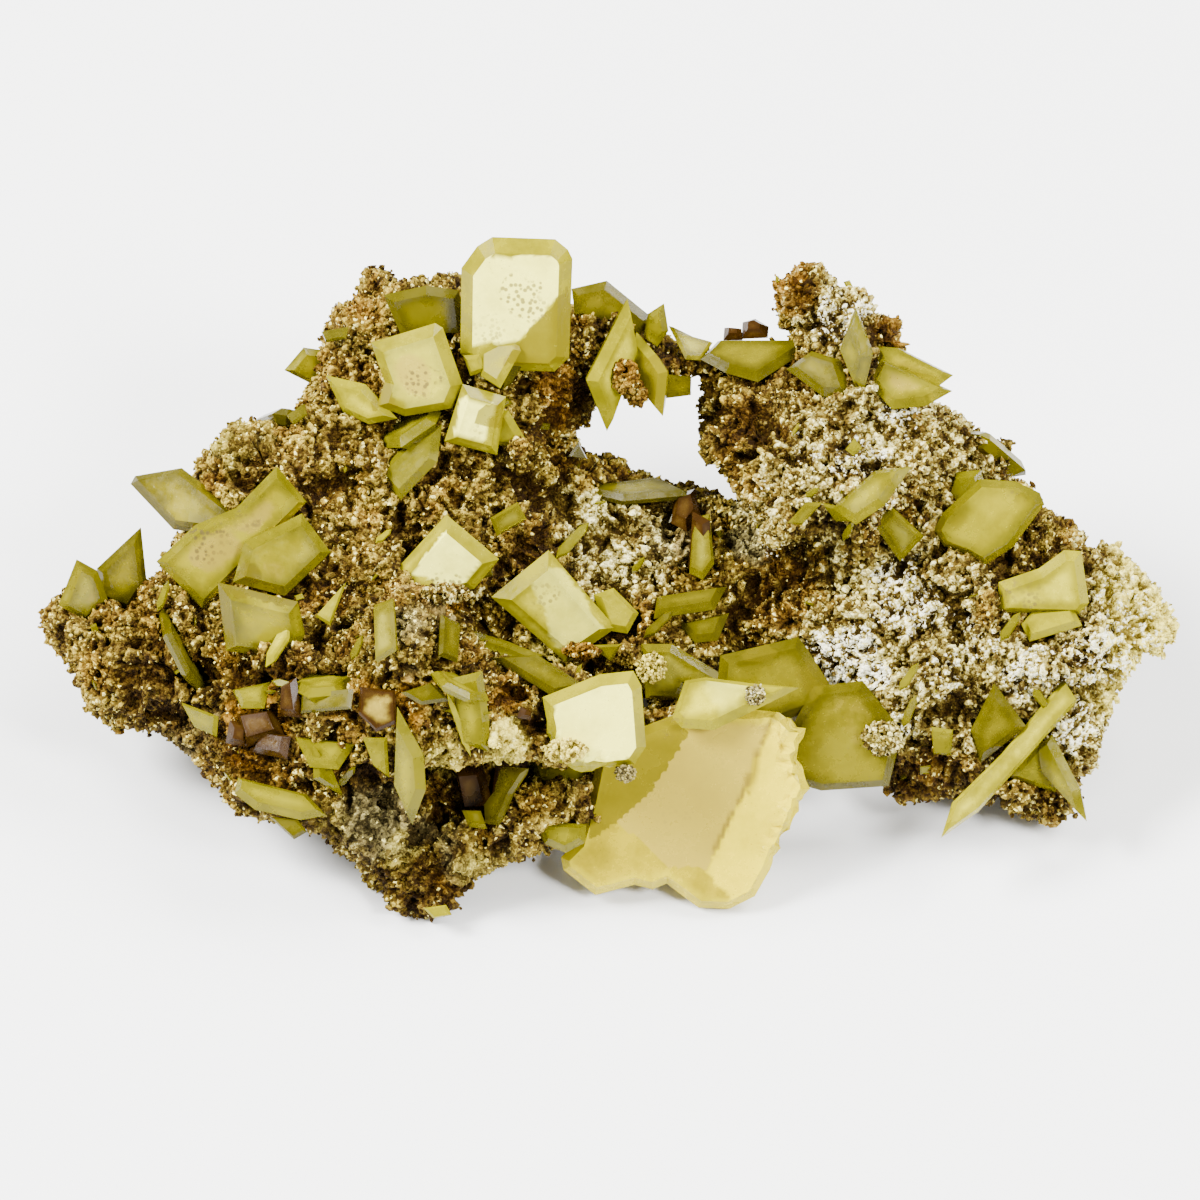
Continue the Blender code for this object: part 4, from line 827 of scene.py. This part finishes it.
def zoning_group():
    """Growth zones of a flat crystal, from the distance to its nearest edge: a rich rim, a paler
    face, milky and tan places, deeper yellow places, dirt, and low steps along the edges."""
    group = bpy.data.node_groups.new("growth_zones", "ShaderNodeTree")
    for name, way, kind in (
        ("Rim Colour", "INPUT", "Color"), ("Face Colour", "INPUT", "Color"),
        ("Milk Colour", "INPUT", "Color"), ("Milk Amount", "INPUT", "Float"), ("Rim Width", "INPUT", "Float"),
        ("Colour", "OUTPUT", "Color"), ("Height", "OUTPUT", "Float"), ("Roughness", "OUTPUT", "Float"),
    ):
        group.interface.new_socket(name, in_out=way, socket_type="NodeSocket" + kind)
    given = add_node(group, "NodeGroupInput").outputs
    flat = computed(group, "SUBTRACT", 1.0, attribute_node(group, "bevel"))
    broad = noise_node(group, 420.0, 3.0)
    fine = noise_node(group, 2400.0, 3.0)
    cloudy = noise_node(group, 260.0, 5.0, 0.7)
    from_edge = total(group, attribute_node(group, "rim"), around_zero(group, broad, 1.1))
    inward = computed(group, "DIVIDE", from_edge, given["Rim Width"])
    face = product(group, ranged(group, inward, 0.1, 1.1), flat)
    base = mixed(group, face, given["Rim Colour"], given["Face Colour"])
    base = mixed(group, 1.0, base, ranged(group, cloudy, 0.34, 0.64, 0.75, 1.15), "MULTIPLY")
    milk = product(group, face, ranged(group, cloudy, 0.25, 0.6, 0.2, 1.0), given["Milk Amount"])
    cloud = product(group, attribute_node(group, "milk"), ranged(group, cloudy, 0.3, 0.55, 0.75, 1.0), flat)
    base = mixed(group, computed(group, "MAXIMUM", milk, cloud), base, given["Milk Colour"])
    blotch = around_zero(group, cloudy, 1.2)
    tan = ranged(group, total(group, attribute_node(group, "tan"), blotch), 0.2, 0.7)
    base = mixed(group, product(group, tan, face, 0.8), base, (0.40, 0.30, 0.035))
    deep = ranged(group, attribute_node(group, "deep"), 0.3, 0.5)
    base = mixed(group, product(group, deep, 0.8), base, (0.14, 0.112, 0.0))
    base = mixed(group, product(group, attribute_node(group, "crack"), 0.7), base, (0.12, 0.08, 0.004))
    dots = cell_node(group, 2200.0)["Distance"]
    dirty = ranged(group, total(group, attribute_node(group, "dirt"), blotch), 0.3, 0.7)
    speck = product(group, ranged(group, dots, 0.3, 0.5, 1.0, 0.0), dirty)
    stray = product(group, ranged(group, dots, 0.1, 0.16, 1.0, 0.0), ranged(group, broad, 0.5, 0.6), 0.6)
    speck = product(group, computed(group, "MAXIMUM", speck, stray), 0.75)
    base = mixed(group, speck, base, (0.10, 0.07, 0.03))
    steps = computed(group, "SINE", product(group, inward, 9.0))
    steps = product(group, steps, ranged(group, broad, 0.45, 0.6), 0.35)
    rough = ranged(group, cloudy, 0.35, 0.7, 0.12, 0.4)
    results = {"Colour": base, "Height": total(group, steps, fine), "Roughness": rough}
    add_node(group, "NodeGroupOutput", results)
    return group


def crystal_material(
        zones, clearness, name, rim, face, milk, milk_amount, rim_width_mm, share, absorb, density):
    """A translucent crystal: part of the light goes through and part comes back from its body."""
    material, tree, shader = new_material(name)
    zoning = add_node(tree, "ShaderNodeGroup", {
        "Rim Colour": rim, "Face Colour": face, "Milk Colour": milk, "Milk Amount": milk_amount,
        "Rim Width": rim_width_mm,
    }, node_tree=zones).outputs
    fill_inputs(tree, shader, {
        "Base Color": zoning["Colour"],
        "Roughness": zoning["Roughness"],
        "Normal": bump_node(tree, zoning["Height"], 0.25, 0.00004),
        "Transmission Weight": clearness * share,
        "IOR": CRYSTAL_IOR,
        "Specular IOR Level": 0.3,
    })
    inner = add_node(tree, "ShaderNodeVolumeAbsorption", {"Color": absorb, "Density": density})
    fill_inputs(tree, tree.nodes["Material Output"], {"Volume": inner.outputs["Volume"]})
    return material


def finish_of(node):
    """The finish that a crystal solid has, by its name."""
    if node.startswith("brown"):
        return "brown"
    return next((finish for finish, nodes in FINISHED_NODES.items() if node in nodes), "yellow")


def zoned_mesh(bm, name, spacing, node):
    """A crystal cut into small triangles, so that its zones can follow its edges.

    Each point keeps as rim its distance in millimetres to the nearest sharp edge, and each face
    keeps as bevel whether it is turned away from the crystal's largest face. The points also keep
    how milky, dirty, deep, tan and cracked they are, and a ragged edge has its points moved.
    """
    bm.normal_update()
    sharp = [e for e in bm.edges if len(e.link_faces) == 2 and e.calc_face_angle(0.0) > SHARP_EDGE]
    ends = np.array([[v.co for v in e.verts] for e in sharp])
    big = sorted(bm.faces, key=lambda f: -f.calc_area())
    main_normals = [f.normal.copy() for f in big if f.calc_area() > 0.35 * big[0].calc_area()]
    bmesh.ops.triangulate(bm, faces=bm.faces[:])
    for _ in range(MOST_CUTS):
        long_edges = [e for e in bm.edges if e.calc_length() > spacing]
        if not long_edges:
            break
        bmesh.ops.subdivide_edges(bm, edges=long_edges, cuts=1)
        bmesh.ops.triangulate(bm, faces=[f for f in bm.faces if len(f.verts) > 3])
    bm.normal_update()
    bevel = [0.0 if max(abs(f.normal.dot(n)) for n in main_normals) > 0.97 else 1.0 for f in bm.faces]
    mesh = mesh_of(bm, name)
    points = read_points(mesh)
    rim = np.full(len(points), 1.0)
    for start, end in ends:
        side = end - start
        share = np.clip((points - start) @ side / max(side @ side, 1e-12), 0, 1)
        rim = np.minimum(rim, np.linalg.norm(points - start - share[:, None] * side, axis=1))
    write_attribute(mesh, "rim", rim / MM)
    write_attribute(mesh, "bevel", bevel, "FACE")
    points_mm = points / MM
    seen = sheet_places(points_mm)
    ragged = cloud_noise(points_mm, 1.2, 171, 3)
    unsteady = ragged[:, None] - 0.5
    for label, patches in CRYSTAL_PATCHES.items():
        zones = zone_mask(seen + unsteady * 0.7, ZONES.get(node, ()), label)
        write_attribute(mesh, label, np.maximum(patch_mask(seen, patches, ragged), zones))
    write_attribute(mesh, "crack", line_mask(seen + unsteady * 0.3, CRACKS.get(node, ()), 0.3))
    broken = patch_mask(seen, RAGGED_PATCHES.get(node, ()), np.full(len(seen), 0.5))
    broken = broken * (1 - smooth_step(0.2, 1.6, rim / MM))
    moved = points + wander(points_mm, 0.8, (181, 182, 183)) * broken[:, None] * 1.6 * MM
    lift_to_floor(moved)
    mesh.vertices.foreach_set("co", moved.ravel())
    return mesh


def add_crystal(bm, name, spacing, finish, node=""):
    """Cuts a crystal up, gives it its zones and its finish, and makes it a piece."""
    mesh = zoned_mesh(bm, name, spacing, node)
    add_piece(mesh, bpy.data.materials[FINISHES[finish][0]], node)


def front_map(objects):
    """The front of those objects as a map: for each cell of the sheet, how far toward the viewer
    their nearest point stands, and minus infinity where there is none."""
    points_mm = np.concatenate([read_points(o.data) for o in objects]) / MM
    places = sheet_places(points_mm)
    low = places.min(axis=0) - 2.0
    cells = np.floor((places - low) / MAP_CELL_MM).astype(int)
    front = np.full(cells.max(axis=0) + 8, -np.inf)
    np.maximum.at(front, (cells[:, 0], cells[:, 1]), (points_mm - SHEET_ORIGIN_MM) @ TOWARD)
    return front, low


def front_at(front_and_low, places):
    """How far toward the viewer the map's objects stand at each of those places."""
    front, low = front_and_low
    cells = np.floor((np.asarray(places) - low) / MAP_CELL_MM).astype(int)
    cells = np.clip(cells, 1, np.array(front.shape) - 2)
    around = [front[cells[:, 0] + i, cells[:, 1] + j] for i in (-1, 0, 1) for j in (-1, 0, 1)]
    return np.max(around, axis=0)


def round_tuft(centre, half_width, half_height, count, grain_mm, random):
    """Grains packed on a round form: each lies along a random direction from the centre, near the
    form's skin, which is an ellipsoid as deep as it is wide."""
    direction = unit_rows(random.normal(size=(count, 3)))
    reach = random.uniform(0.55, 1.0, count)[:, None] * np.array([half_width, half_height, half_width])
    offset = direction * reach
    places = centre + offset[:, :1] * RIGHT + offset[:, 1:2] * UP + offset[:, 2:] * TOWARD
    radii = grain_mm * random.uniform(0.6, 1.3, count)
    return grain_cloud(places * MM, radii * MM, random)


def chip_cloud(places, normals, sizes, random):
    """Tiny flat crystals: each is a four-cornered tablet with a drawn-in face on each side, which
    stands on the rock with its plane along the surface's normal, turned at random about it."""
    count = len(places)
    across = unit_rows(np.cross(normals, random.normal(size=(count, 3))))
    upward = normals + 0.7 * random.normal(size=(count, 3)) * 0.6
    upward -= (upward * across).sum(axis=1)[:, None] * across
    upward = unit_rows(upward)
    thin = np.cross(across, upward)
    ring = np.array([(-0.5, -0.5), (0.5, -0.6), (0.55, 0.45), (-0.4, 0.6)])
    width = sizes * random.uniform(0.5, 1.0, count)
    depth = sizes * random.uniform(0.18, 0.32, count)
    corners = [
        places + across * (a * width)[:, None] + upward * ((u + 0.3) * sizes)[:, None]
        + thin * (level * depth)[:, None]
        for shrink, level in ((0.7, -0.5), (1.0, 0.0), (0.7, 0.5)) for a, u in ring * shrink
    ]
    faces = [(3, 2, 1), (3, 1, 0), (8, 9, 10), (8, 10, 11)]
    for low in (0, 4):
        for k in range(4):
            a, b = low + k, low + (k + 1) % 4
            faces += [(a, b, b + 4), (a, b + 4, a + 4)]
    triangles = np.array(faces)[None] + (np.arange(count) * len(corners))[:, None, None]
    return np.stack(corners, axis=1).reshape(-1, 3), triangles.reshape(-1, 3)


def blade_outline(start, end, width):
    """A narrow six-cornered outline from start to end."""
    start, end = np.array(start), np.array(end)
    along = end - start
    across = np.array([-along[1], along[0]]) / np.linalg.norm(along) * width / 2
    near, far = start + along * 0.22, start + along * 0.8
    return np.array([start, near - across, far - across * 0.8, end, far + across * 0.8, near + across])


def small_crystal(rock_map, outline, root, lift, thickness):
    """A small flat crystal that grows from the rock at its root.

    Its middle plane is the flat surface fitted to the rock's front under the outline, raised from
    nothing at the root to its lift at the far corner. The middle ring is the outline, and the two
    face rings are the outline drawn in, half the thickness away along the plane's normal.
    """
    outline, root = np.asarray(outline, float), np.asarray(root, float)
    probes = np.concatenate([outline, (outline + root) / 2, [root]])
    depth = front_at(rock_map, probes)
    known = np.isfinite(depth)
    if not known.any():
        raise RuntimeError(f"no rock near {root}")
    system = np.column_stack([probes[known] - root, np.ones(known.sum())])
    flatter = np.diag([0.7, 0.7, 0.0])
    fit = np.linalg.solve(system.T @ system + flatter, system.T @ depth[known])
    slopes = np.clip(fit[:2], -STEEPEST, STEEPEST)
    away = np.linalg.norm(outline - root, axis=1)
    toward = fit[2] + (outline - root) @ slopes + lift * away / away.max()
    ring = np.array([from_sheet(*place, depth) for place, depth in zip(outline, toward)])
    centre = ring.mean(axis=0)
    normal = np.linalg.svd(ring - centre)[2][2]
    flattened = ring - np.outer((ring - centre) @ normal, normal)
    size = np.linalg.norm(flattened - centre, axis=1).mean()
    drawn_in = centre + (flattened - centre) * max(0.45, 1 - 0.55 * thickness / size)
    rings = [drawn_in - normal * thickness / 2, flattened, drawn_in + normal * thickness / 2]
    count = len(outline)
    bm = bmesh.new()
    verts = [[bm.verts.new(point * MM) for point in ring] for ring in rings]
    for lower, upper in ((verts[0], verts[1]), (verts[1], verts[2])):
        for k in range(count):
            bm.faces.new((lower[k], lower[(k + 1) % count], upper[(k + 1) % count], upper[k]))
    bm.faces.new(verts[0][::-1])
    bm.faces.new(verts[2])
    bmesh.ops.recalc_face_normals(bm, faces=bm.faces)
    return bm


class SpecimenRock(bpy.types.PropertyGroup):
    voxel: FloatProperty(
        name="Grid", description="Spacing of the rock's points", default=0.00022, unit="LENGTH")
    rounding: IntProperty(name="Rounding", description="Passes that round the solid's facets", default=14)
    relief_mm: FloatProperty(
        name="Relief", description="How strongly lumps, grains and pits stand out", default=1.0)
    grain_count: IntProperty(
        name="Loose grains", description="Number of small angular grains on the crust", default=42000)
    chip_count: IntProperty(
        name="Tiny crystals", description="Number of tiny crystals scattered on the crust", default=130)
    grains_per_m: FloatProperty(
        name="Grains per metre", description="How fine the coloured grains are", default=3500.0)
    # The pits' colour is painted shade; the golden tips are partly painted light.
    pit_shade_colour: FloatVectorProperty(
        name="Pits", description="Colour deep in the pits", default=(0.014, 0.006, 0.001), subtype="COLOR")
    brown_colour: FloatVectorProperty(
        name="Brown", description="Colour between the grains", default=(0.055, 0.031, 0.005),
        subtype="COLOR")
    ochre_colour: FloatVectorProperty(
        name="Ochre", description="Colour of the grains", default=(0.145, 0.096, 0.012), subtype="COLOR")
    golden_colour: FloatVectorProperty(
        name="Golden tips", description="Colour of the grain tips", default=(0.42, 0.315, 0.045),
        subtype="COLOR")


class SpecimenCrystals(bpy.types.PropertyGroup):
    spacing: FloatProperty(
        name="Spacing", description="Longest edge in a crystal's mesh", default=0.0006, unit="LENGTH")
    clearness: FloatProperty(
        name="Clearness", description="Share of the light that goes through", default=0.5, subtype="FACTOR")


class SpecimenStage(bpy.types.PropertyGroup):
    distance: FloatProperty(
        name="Camera distance", description="From the camera to the specimen", default=2.0, unit="LENGTH")
    floor_colour: FloatVectorProperty(
        name="Floor", description="Colour of the floor", default=(0.80, 0.804, 0.796), subtype="COLOR")
    sky_strength: FloatProperty(
        name="Sky", description="Strength of the even light from all round", default=0.7)
    key_power: FloatProperty(
        name="Key light", description="Power of the light above on the left", default=155.0, unit="POWER")
    right_power: FloatProperty(
        name="Right light", description="Power of the light above on the right", default=55.0, unit="POWER")
    front_power: FloatProperty(
        name="Front light", description="Power of the light in front", default=66.0, unit="POWER")


class SPECIMEN_OT_rock(bpy.types.Operator):
    """Make the crusted rock with its grains, pits and stains"""

    bl_idname = "specimen.rock"
    bl_label = "Rock"

    def execute(self, context):
        settings = context.scene.specimen_rock
        base = fine_rock(settings.voxel * (1.0), settings.rounding)
        points = read_points(base)
        normals = read_normals(base)
        gap = np.empty(len(points), np.float32)
        base.attributes["gap"].data.foreach_get("value", gap)
        gap_mm = gap / MM
        places_mm = points / MM
        height, level, pits = rock_relief(places_mm, settings.relief_mm)
        moved = points + normals * np.minimum(height + 0.1, gap_mm + 0.04)[:, None] * MM
        lift_to_floor(moved)
        seen = sheet_places(places_mm)
        ragged = cloud_noise(places_mm, 2.2, 71, 3)
        # Painted light and shade: the crust's level goes up in the light patches and down in the shade
        # patches.
        light = patch_mask(seen, PAINTED_LIGHT_PATCHES, ragged)
        painted_light_and_shade = 0.35 * light - 0.5 * patch_mask(seen, PAINTED_SHADE_PATCHES, ragged)
        values = {"level": np.clip(level + painted_light_and_shade * (0.3 + level), 0, 1)}
        for name, patches in STAIN_PATCHES.items():
            values[name] = patch_mask(seen, patches, ragged)
        corners = np.empty(len(base.loops), np.int32)
        base.loops.foreach_get("vertex_index", corners)
        material = rock_material(settings)
        self.add_bands("rock_part", moved, corners.reshape(-1, 4), values, material, True)

        random = np.random.default_rng(GRAIN_SEED)
        count = settings.grain_count // 1
        free = np.flatnonzero((gap_mm > 0.3) & (moved[:, 2] > 0.0003) & (pits < 0.5))
        chosen = random.choice(free, size=min(count, len(free)), replace=False)
        step = random.choice([0.75, 1.0, 1.4, 1.9, 3.0], len(chosen), p=[0.35, 0.3, 0.2, 0.12, 0.03])
        radii = random.uniform(0.10, 0.165, len(chosen)) * step * MM
        places = moved[chosen] + normals[chosen] * (radii * random.uniform(-0.2, 0.6, len(chosen)))[:, None]
        points, triangles = grain_cloud(places, radii, random)
        lift_to_floor(points)
        grain_values = {name: np.repeat(column[chosen], BLOCK_CORNERS) for name, column in values.items()}
        # The loose grains take the same painted shade and light as the crust under them.
        own = random.uniform(0.0, 1.0, len(chosen)) ** 1.5 * 0.7 + values["level"][chosen] * 0.3
        own = np.clip(own + painted_light_and_shade[chosen] * (0.3 + own), 0, 1)
        grain_values["level"] = np.repeat(own, BLOCK_CORNERS)
        self.add_bands("rock_grains", points, triangles, grain_values, material, False)
        bpy.data.meshes.remove(base)
        return {"FINISHED"}

    def add_bands(self, name, points, corners, values, material, smooth):
        """The surface as pieces, cut into bands across the rock, each with the same number of faces."""
        middle = points[corners].mean(axis=1)[:, 0]
        count = math.ceil(len(corners) * (corners.shape[1] - 2) / MOST_TRIANGLES)
        bounds = np.quantile(middle, np.linspace(0, 1, count + 1)[1:-1])
        band = np.searchsorted(bounds, middle)
        for k in range(count):
            mesh = piece_of_mesh(f"{name}_{k + 1}", points, corners, values, band == k)
            mesh.polygons.foreach_set("use_smooth", np.full(len(mesh.polygons), smooth))
            add_piece(mesh, material, "matrix")


class SPECIMEN_OT_crystals(bpy.types.Operator):
    """Give every crystal its growth zones and its finish"""

    bl_idname = "specimen.crystals"
    bl_label = "Crystals"

    def execute(self, context):
        settings = context.scene.specimen_crystals
        zones = zoning_group()
        for values in FINISHES.values():
            crystal_material(zones, settings.clearness, *values)
        for node in crystal_nodes():
            bm = merged_solid(node)
            bmesh.ops.dissolve_limit(bm, angle_limit=math.radians(1.0), verts=bm.verts, edges=bm.edges)
            add_crystal(bm, node + "_look", settings.spacing, finish_of(node), node)
        return {"FINISHED"}


class SPECIMEN_OT_small_crystals(bpy.types.Operator):
    """Grow the small plates and blades from the rock's front"""

    bl_idname = "specimen.small_crystals"
    bl_label = "Small crystals"

    def execute(self, context):
        settings = context.scene.specimen_crystals
        if not rock_parts():
            raise RuntimeError("the rock comes before the small crystals")
        rock_map = front_map(rock_parts())
        shapes = dict(SMALL_PLATES)
        for name, (start, end, width, lift, thickness, finish) in SMALL_BLADES.items():
            shapes[name] = (blade_outline(start, end, width), start, lift, thickness, finish)
        for name, (outline, root, lift, thickness, finish) in shapes.items():
            bm = small_crystal(rock_map, outline, root, lift, thickness)
            add_crystal(bm, name, settings.spacing, finish)
        return {"FINISHED"}


class SPECIMEN_OT_tufts(bpy.types.Operator):
    """Set the tufts and lumps of grains on the crystals, and scatter tiny crystals on the rock"""

    bl_idname = "specimen.tufts"
    bl_label = "Tufts and chips"

    def execute(self, context):
        settings = context.scene.specimen_rock
        shown = [o for o in bpy.data.objects if o.name.startswith("rock_part") or o.name.endswith("_look")]
        front = front_map(shown)
        random = np.random.default_rng(TUFT_SEED)
        for name, (place, (half_width, half_height), count, grain_mm, stains) in TUFTS.items():
            centre = from_sheet(*place, front_at(front, [place])[0] + 0.25 * half_width)
            points, triangles = round_tuft(centre, half_width, half_height, count, grain_mm, random)
            lift_to_floor(points)
            values = {label: np.full(len(points), stains.get(label, 0.0)) for label in STAIN_PATCHES}
            values["level"] = np.repeat(random.uniform(0.1, 1.0, count), BLOCK_CORNERS)
            mesh = piece_of_mesh(name, points, triangles, values)
            add_piece(mesh, bpy.data.materials["limonite_crust"])
        points = np.concatenate([read_points(o.data) for o in rock_parts()])
        normals = np.concatenate([read_normals(o.data) for o in rock_parts()])
        open_air = np.flatnonzero(points[:, 2] > 0.003)
        for finish in ("yellow", "olive"):
            chosen = random.choice(open_air, settings.chip_count // 2, replace=False)
            sizes = random.uniform(0.4, 1.0, len(chosen)) * MM
            corners, triangles = chip_cloud(points[chosen], normals[chosen], sizes, random)
            lift_to_floor(corners)
            values = {"rim": np.tile(np.repeat([0.6, 0.0, 0.6], 4), len(chosen))}
            mesh = piece_of_mesh(f"tiny_{finish}_crystals", corners, triangles, values)
            add_piece(mesh, bpy.data.materials[FINISHES[finish][0]])
        return {"FINISHED"}


class SPECIMEN_OT_stage(bpy.types.Operator):
    """Set up the pale floor, the soft light and the camera"""

    bl_idname = "specimen.stage"
    bl_label = "Stage"

    def execute(self, context):
        settings = context.scene.specimen_stage
        half = FLOOR_WIDTH / 2
        mesh = bpy.data.meshes.new("floor")
        ring = [(-half, -half, 0), (half, -half, 0), (half, half, 0), (-half, half, 0)]
        mesh.from_pydata(ring, [], [(0, 1, 2, 3)])
        material, tree, shader = new_material("studio_floor")
        fill_inputs(tree, shader, {"Base Color": tuple(settings.floor_colour), "Roughness": 0.7})
        mesh.materials.append(material)
        new_object("floor", mesh)
        world = bpy.data.worlds.new("studio")
        world.use_nodes = True
        sky = {"Color": (1.0, 0.99, 0.95), "Strength": settings.sky_strength}
        fill_inputs(world.node_tree, world.node_tree.nodes["Background"], sky)
        context.scene.world = world
        for name, place, size, power in (
            ("key_light", (-1.2, 0.0, 1.2), 0.7, settings.key_power),
            ("right_light", (0.9, 0.35, 1.3), 0.8, settings.right_power),
            ("front_light", (0.9, -0.9, 1.2), 0.45, settings.front_power),
        ):
            data = bpy.data.lights.new(name, "AREA")
            data.size = size
            data.energy = power
            light = new_object(name, data)
            light.location = place
            light.visible_glossy = name == "right_light"
            light.rotation_mode = "QUATERNION"
            light.rotation_quaternion = Vector(place).to_track_quat("Z", "Y")
        data = bpy.data.cameras.new("camera")
        camera = new_object("camera", data)
        camera.location = from_sheet(*SHEET_CENTRE_MM, FOCUS_TOWARD_MM) * MM + TOWARD * settings.distance
        camera.rotation_euler = (math.pi / 2 - LOOK_DOWN, 0.0, 0.0)
        data.lens = data.sensor_width * settings.distance / (SHEET_WIDTH_MM * MM)
        data.clip_start = 0.1
        data.clip_end = 20.0
        context.scene.camera = camera
        return {"FINISHED"}


class SPECIMEN_PT_panel(bpy.types.Panel):
    """The steps that make the specimen"""

    bl_idname = "SPECIMEN_PT_panel"
    bl_label = "Wulfenite specimen"
    bl_space_type = "VIEW_3D"
    bl_region_type = "UI"
    bl_category = "Specimen"

    def draw(self, context):
        for operator in OPERATORS:
            self.layout.operator(operator.bl_idname)


OPERATORS = (
    SPECIMEN_OT_rock,
    SPECIMEN_OT_crystals,
    SPECIMEN_OT_small_crystals,
    SPECIMEN_OT_tufts,
    SPECIMEN_OT_stage,
)
GROUPS = {
    "specimen_rock": SpecimenRock,
    "specimen_crystals": SpecimenCrystals,
    "specimen_stage": SpecimenStage,
}


def register():
    for name, group in GROUPS.items():
        bpy.utils.register_class(group)
        setattr(bpy.types.Scene, name, PointerProperty(type=group))
    for item in (*OPERATORS, SPECIMEN_PT_panel):
        bpy.utils.register_class(item)


def unregister():
    for item in (SPECIMEN_PT_panel, *reversed(OPERATORS)):
        bpy.utils.unregister_class(item)
    for name, group in GROUPS.items():
        delattr(bpy.types.Scene, name)
        bpy.utils.unregister_class(group)


def main():
    register()
    bpy.ops.specimen.rock()
    bpy.ops.specimen.crystals()
    bpy.ops.specimen.small_crystals()
    bpy.ops.specimen.tufts()
    bpy.ops.specimen.stage()


if __name__ == "__main__":
    main()
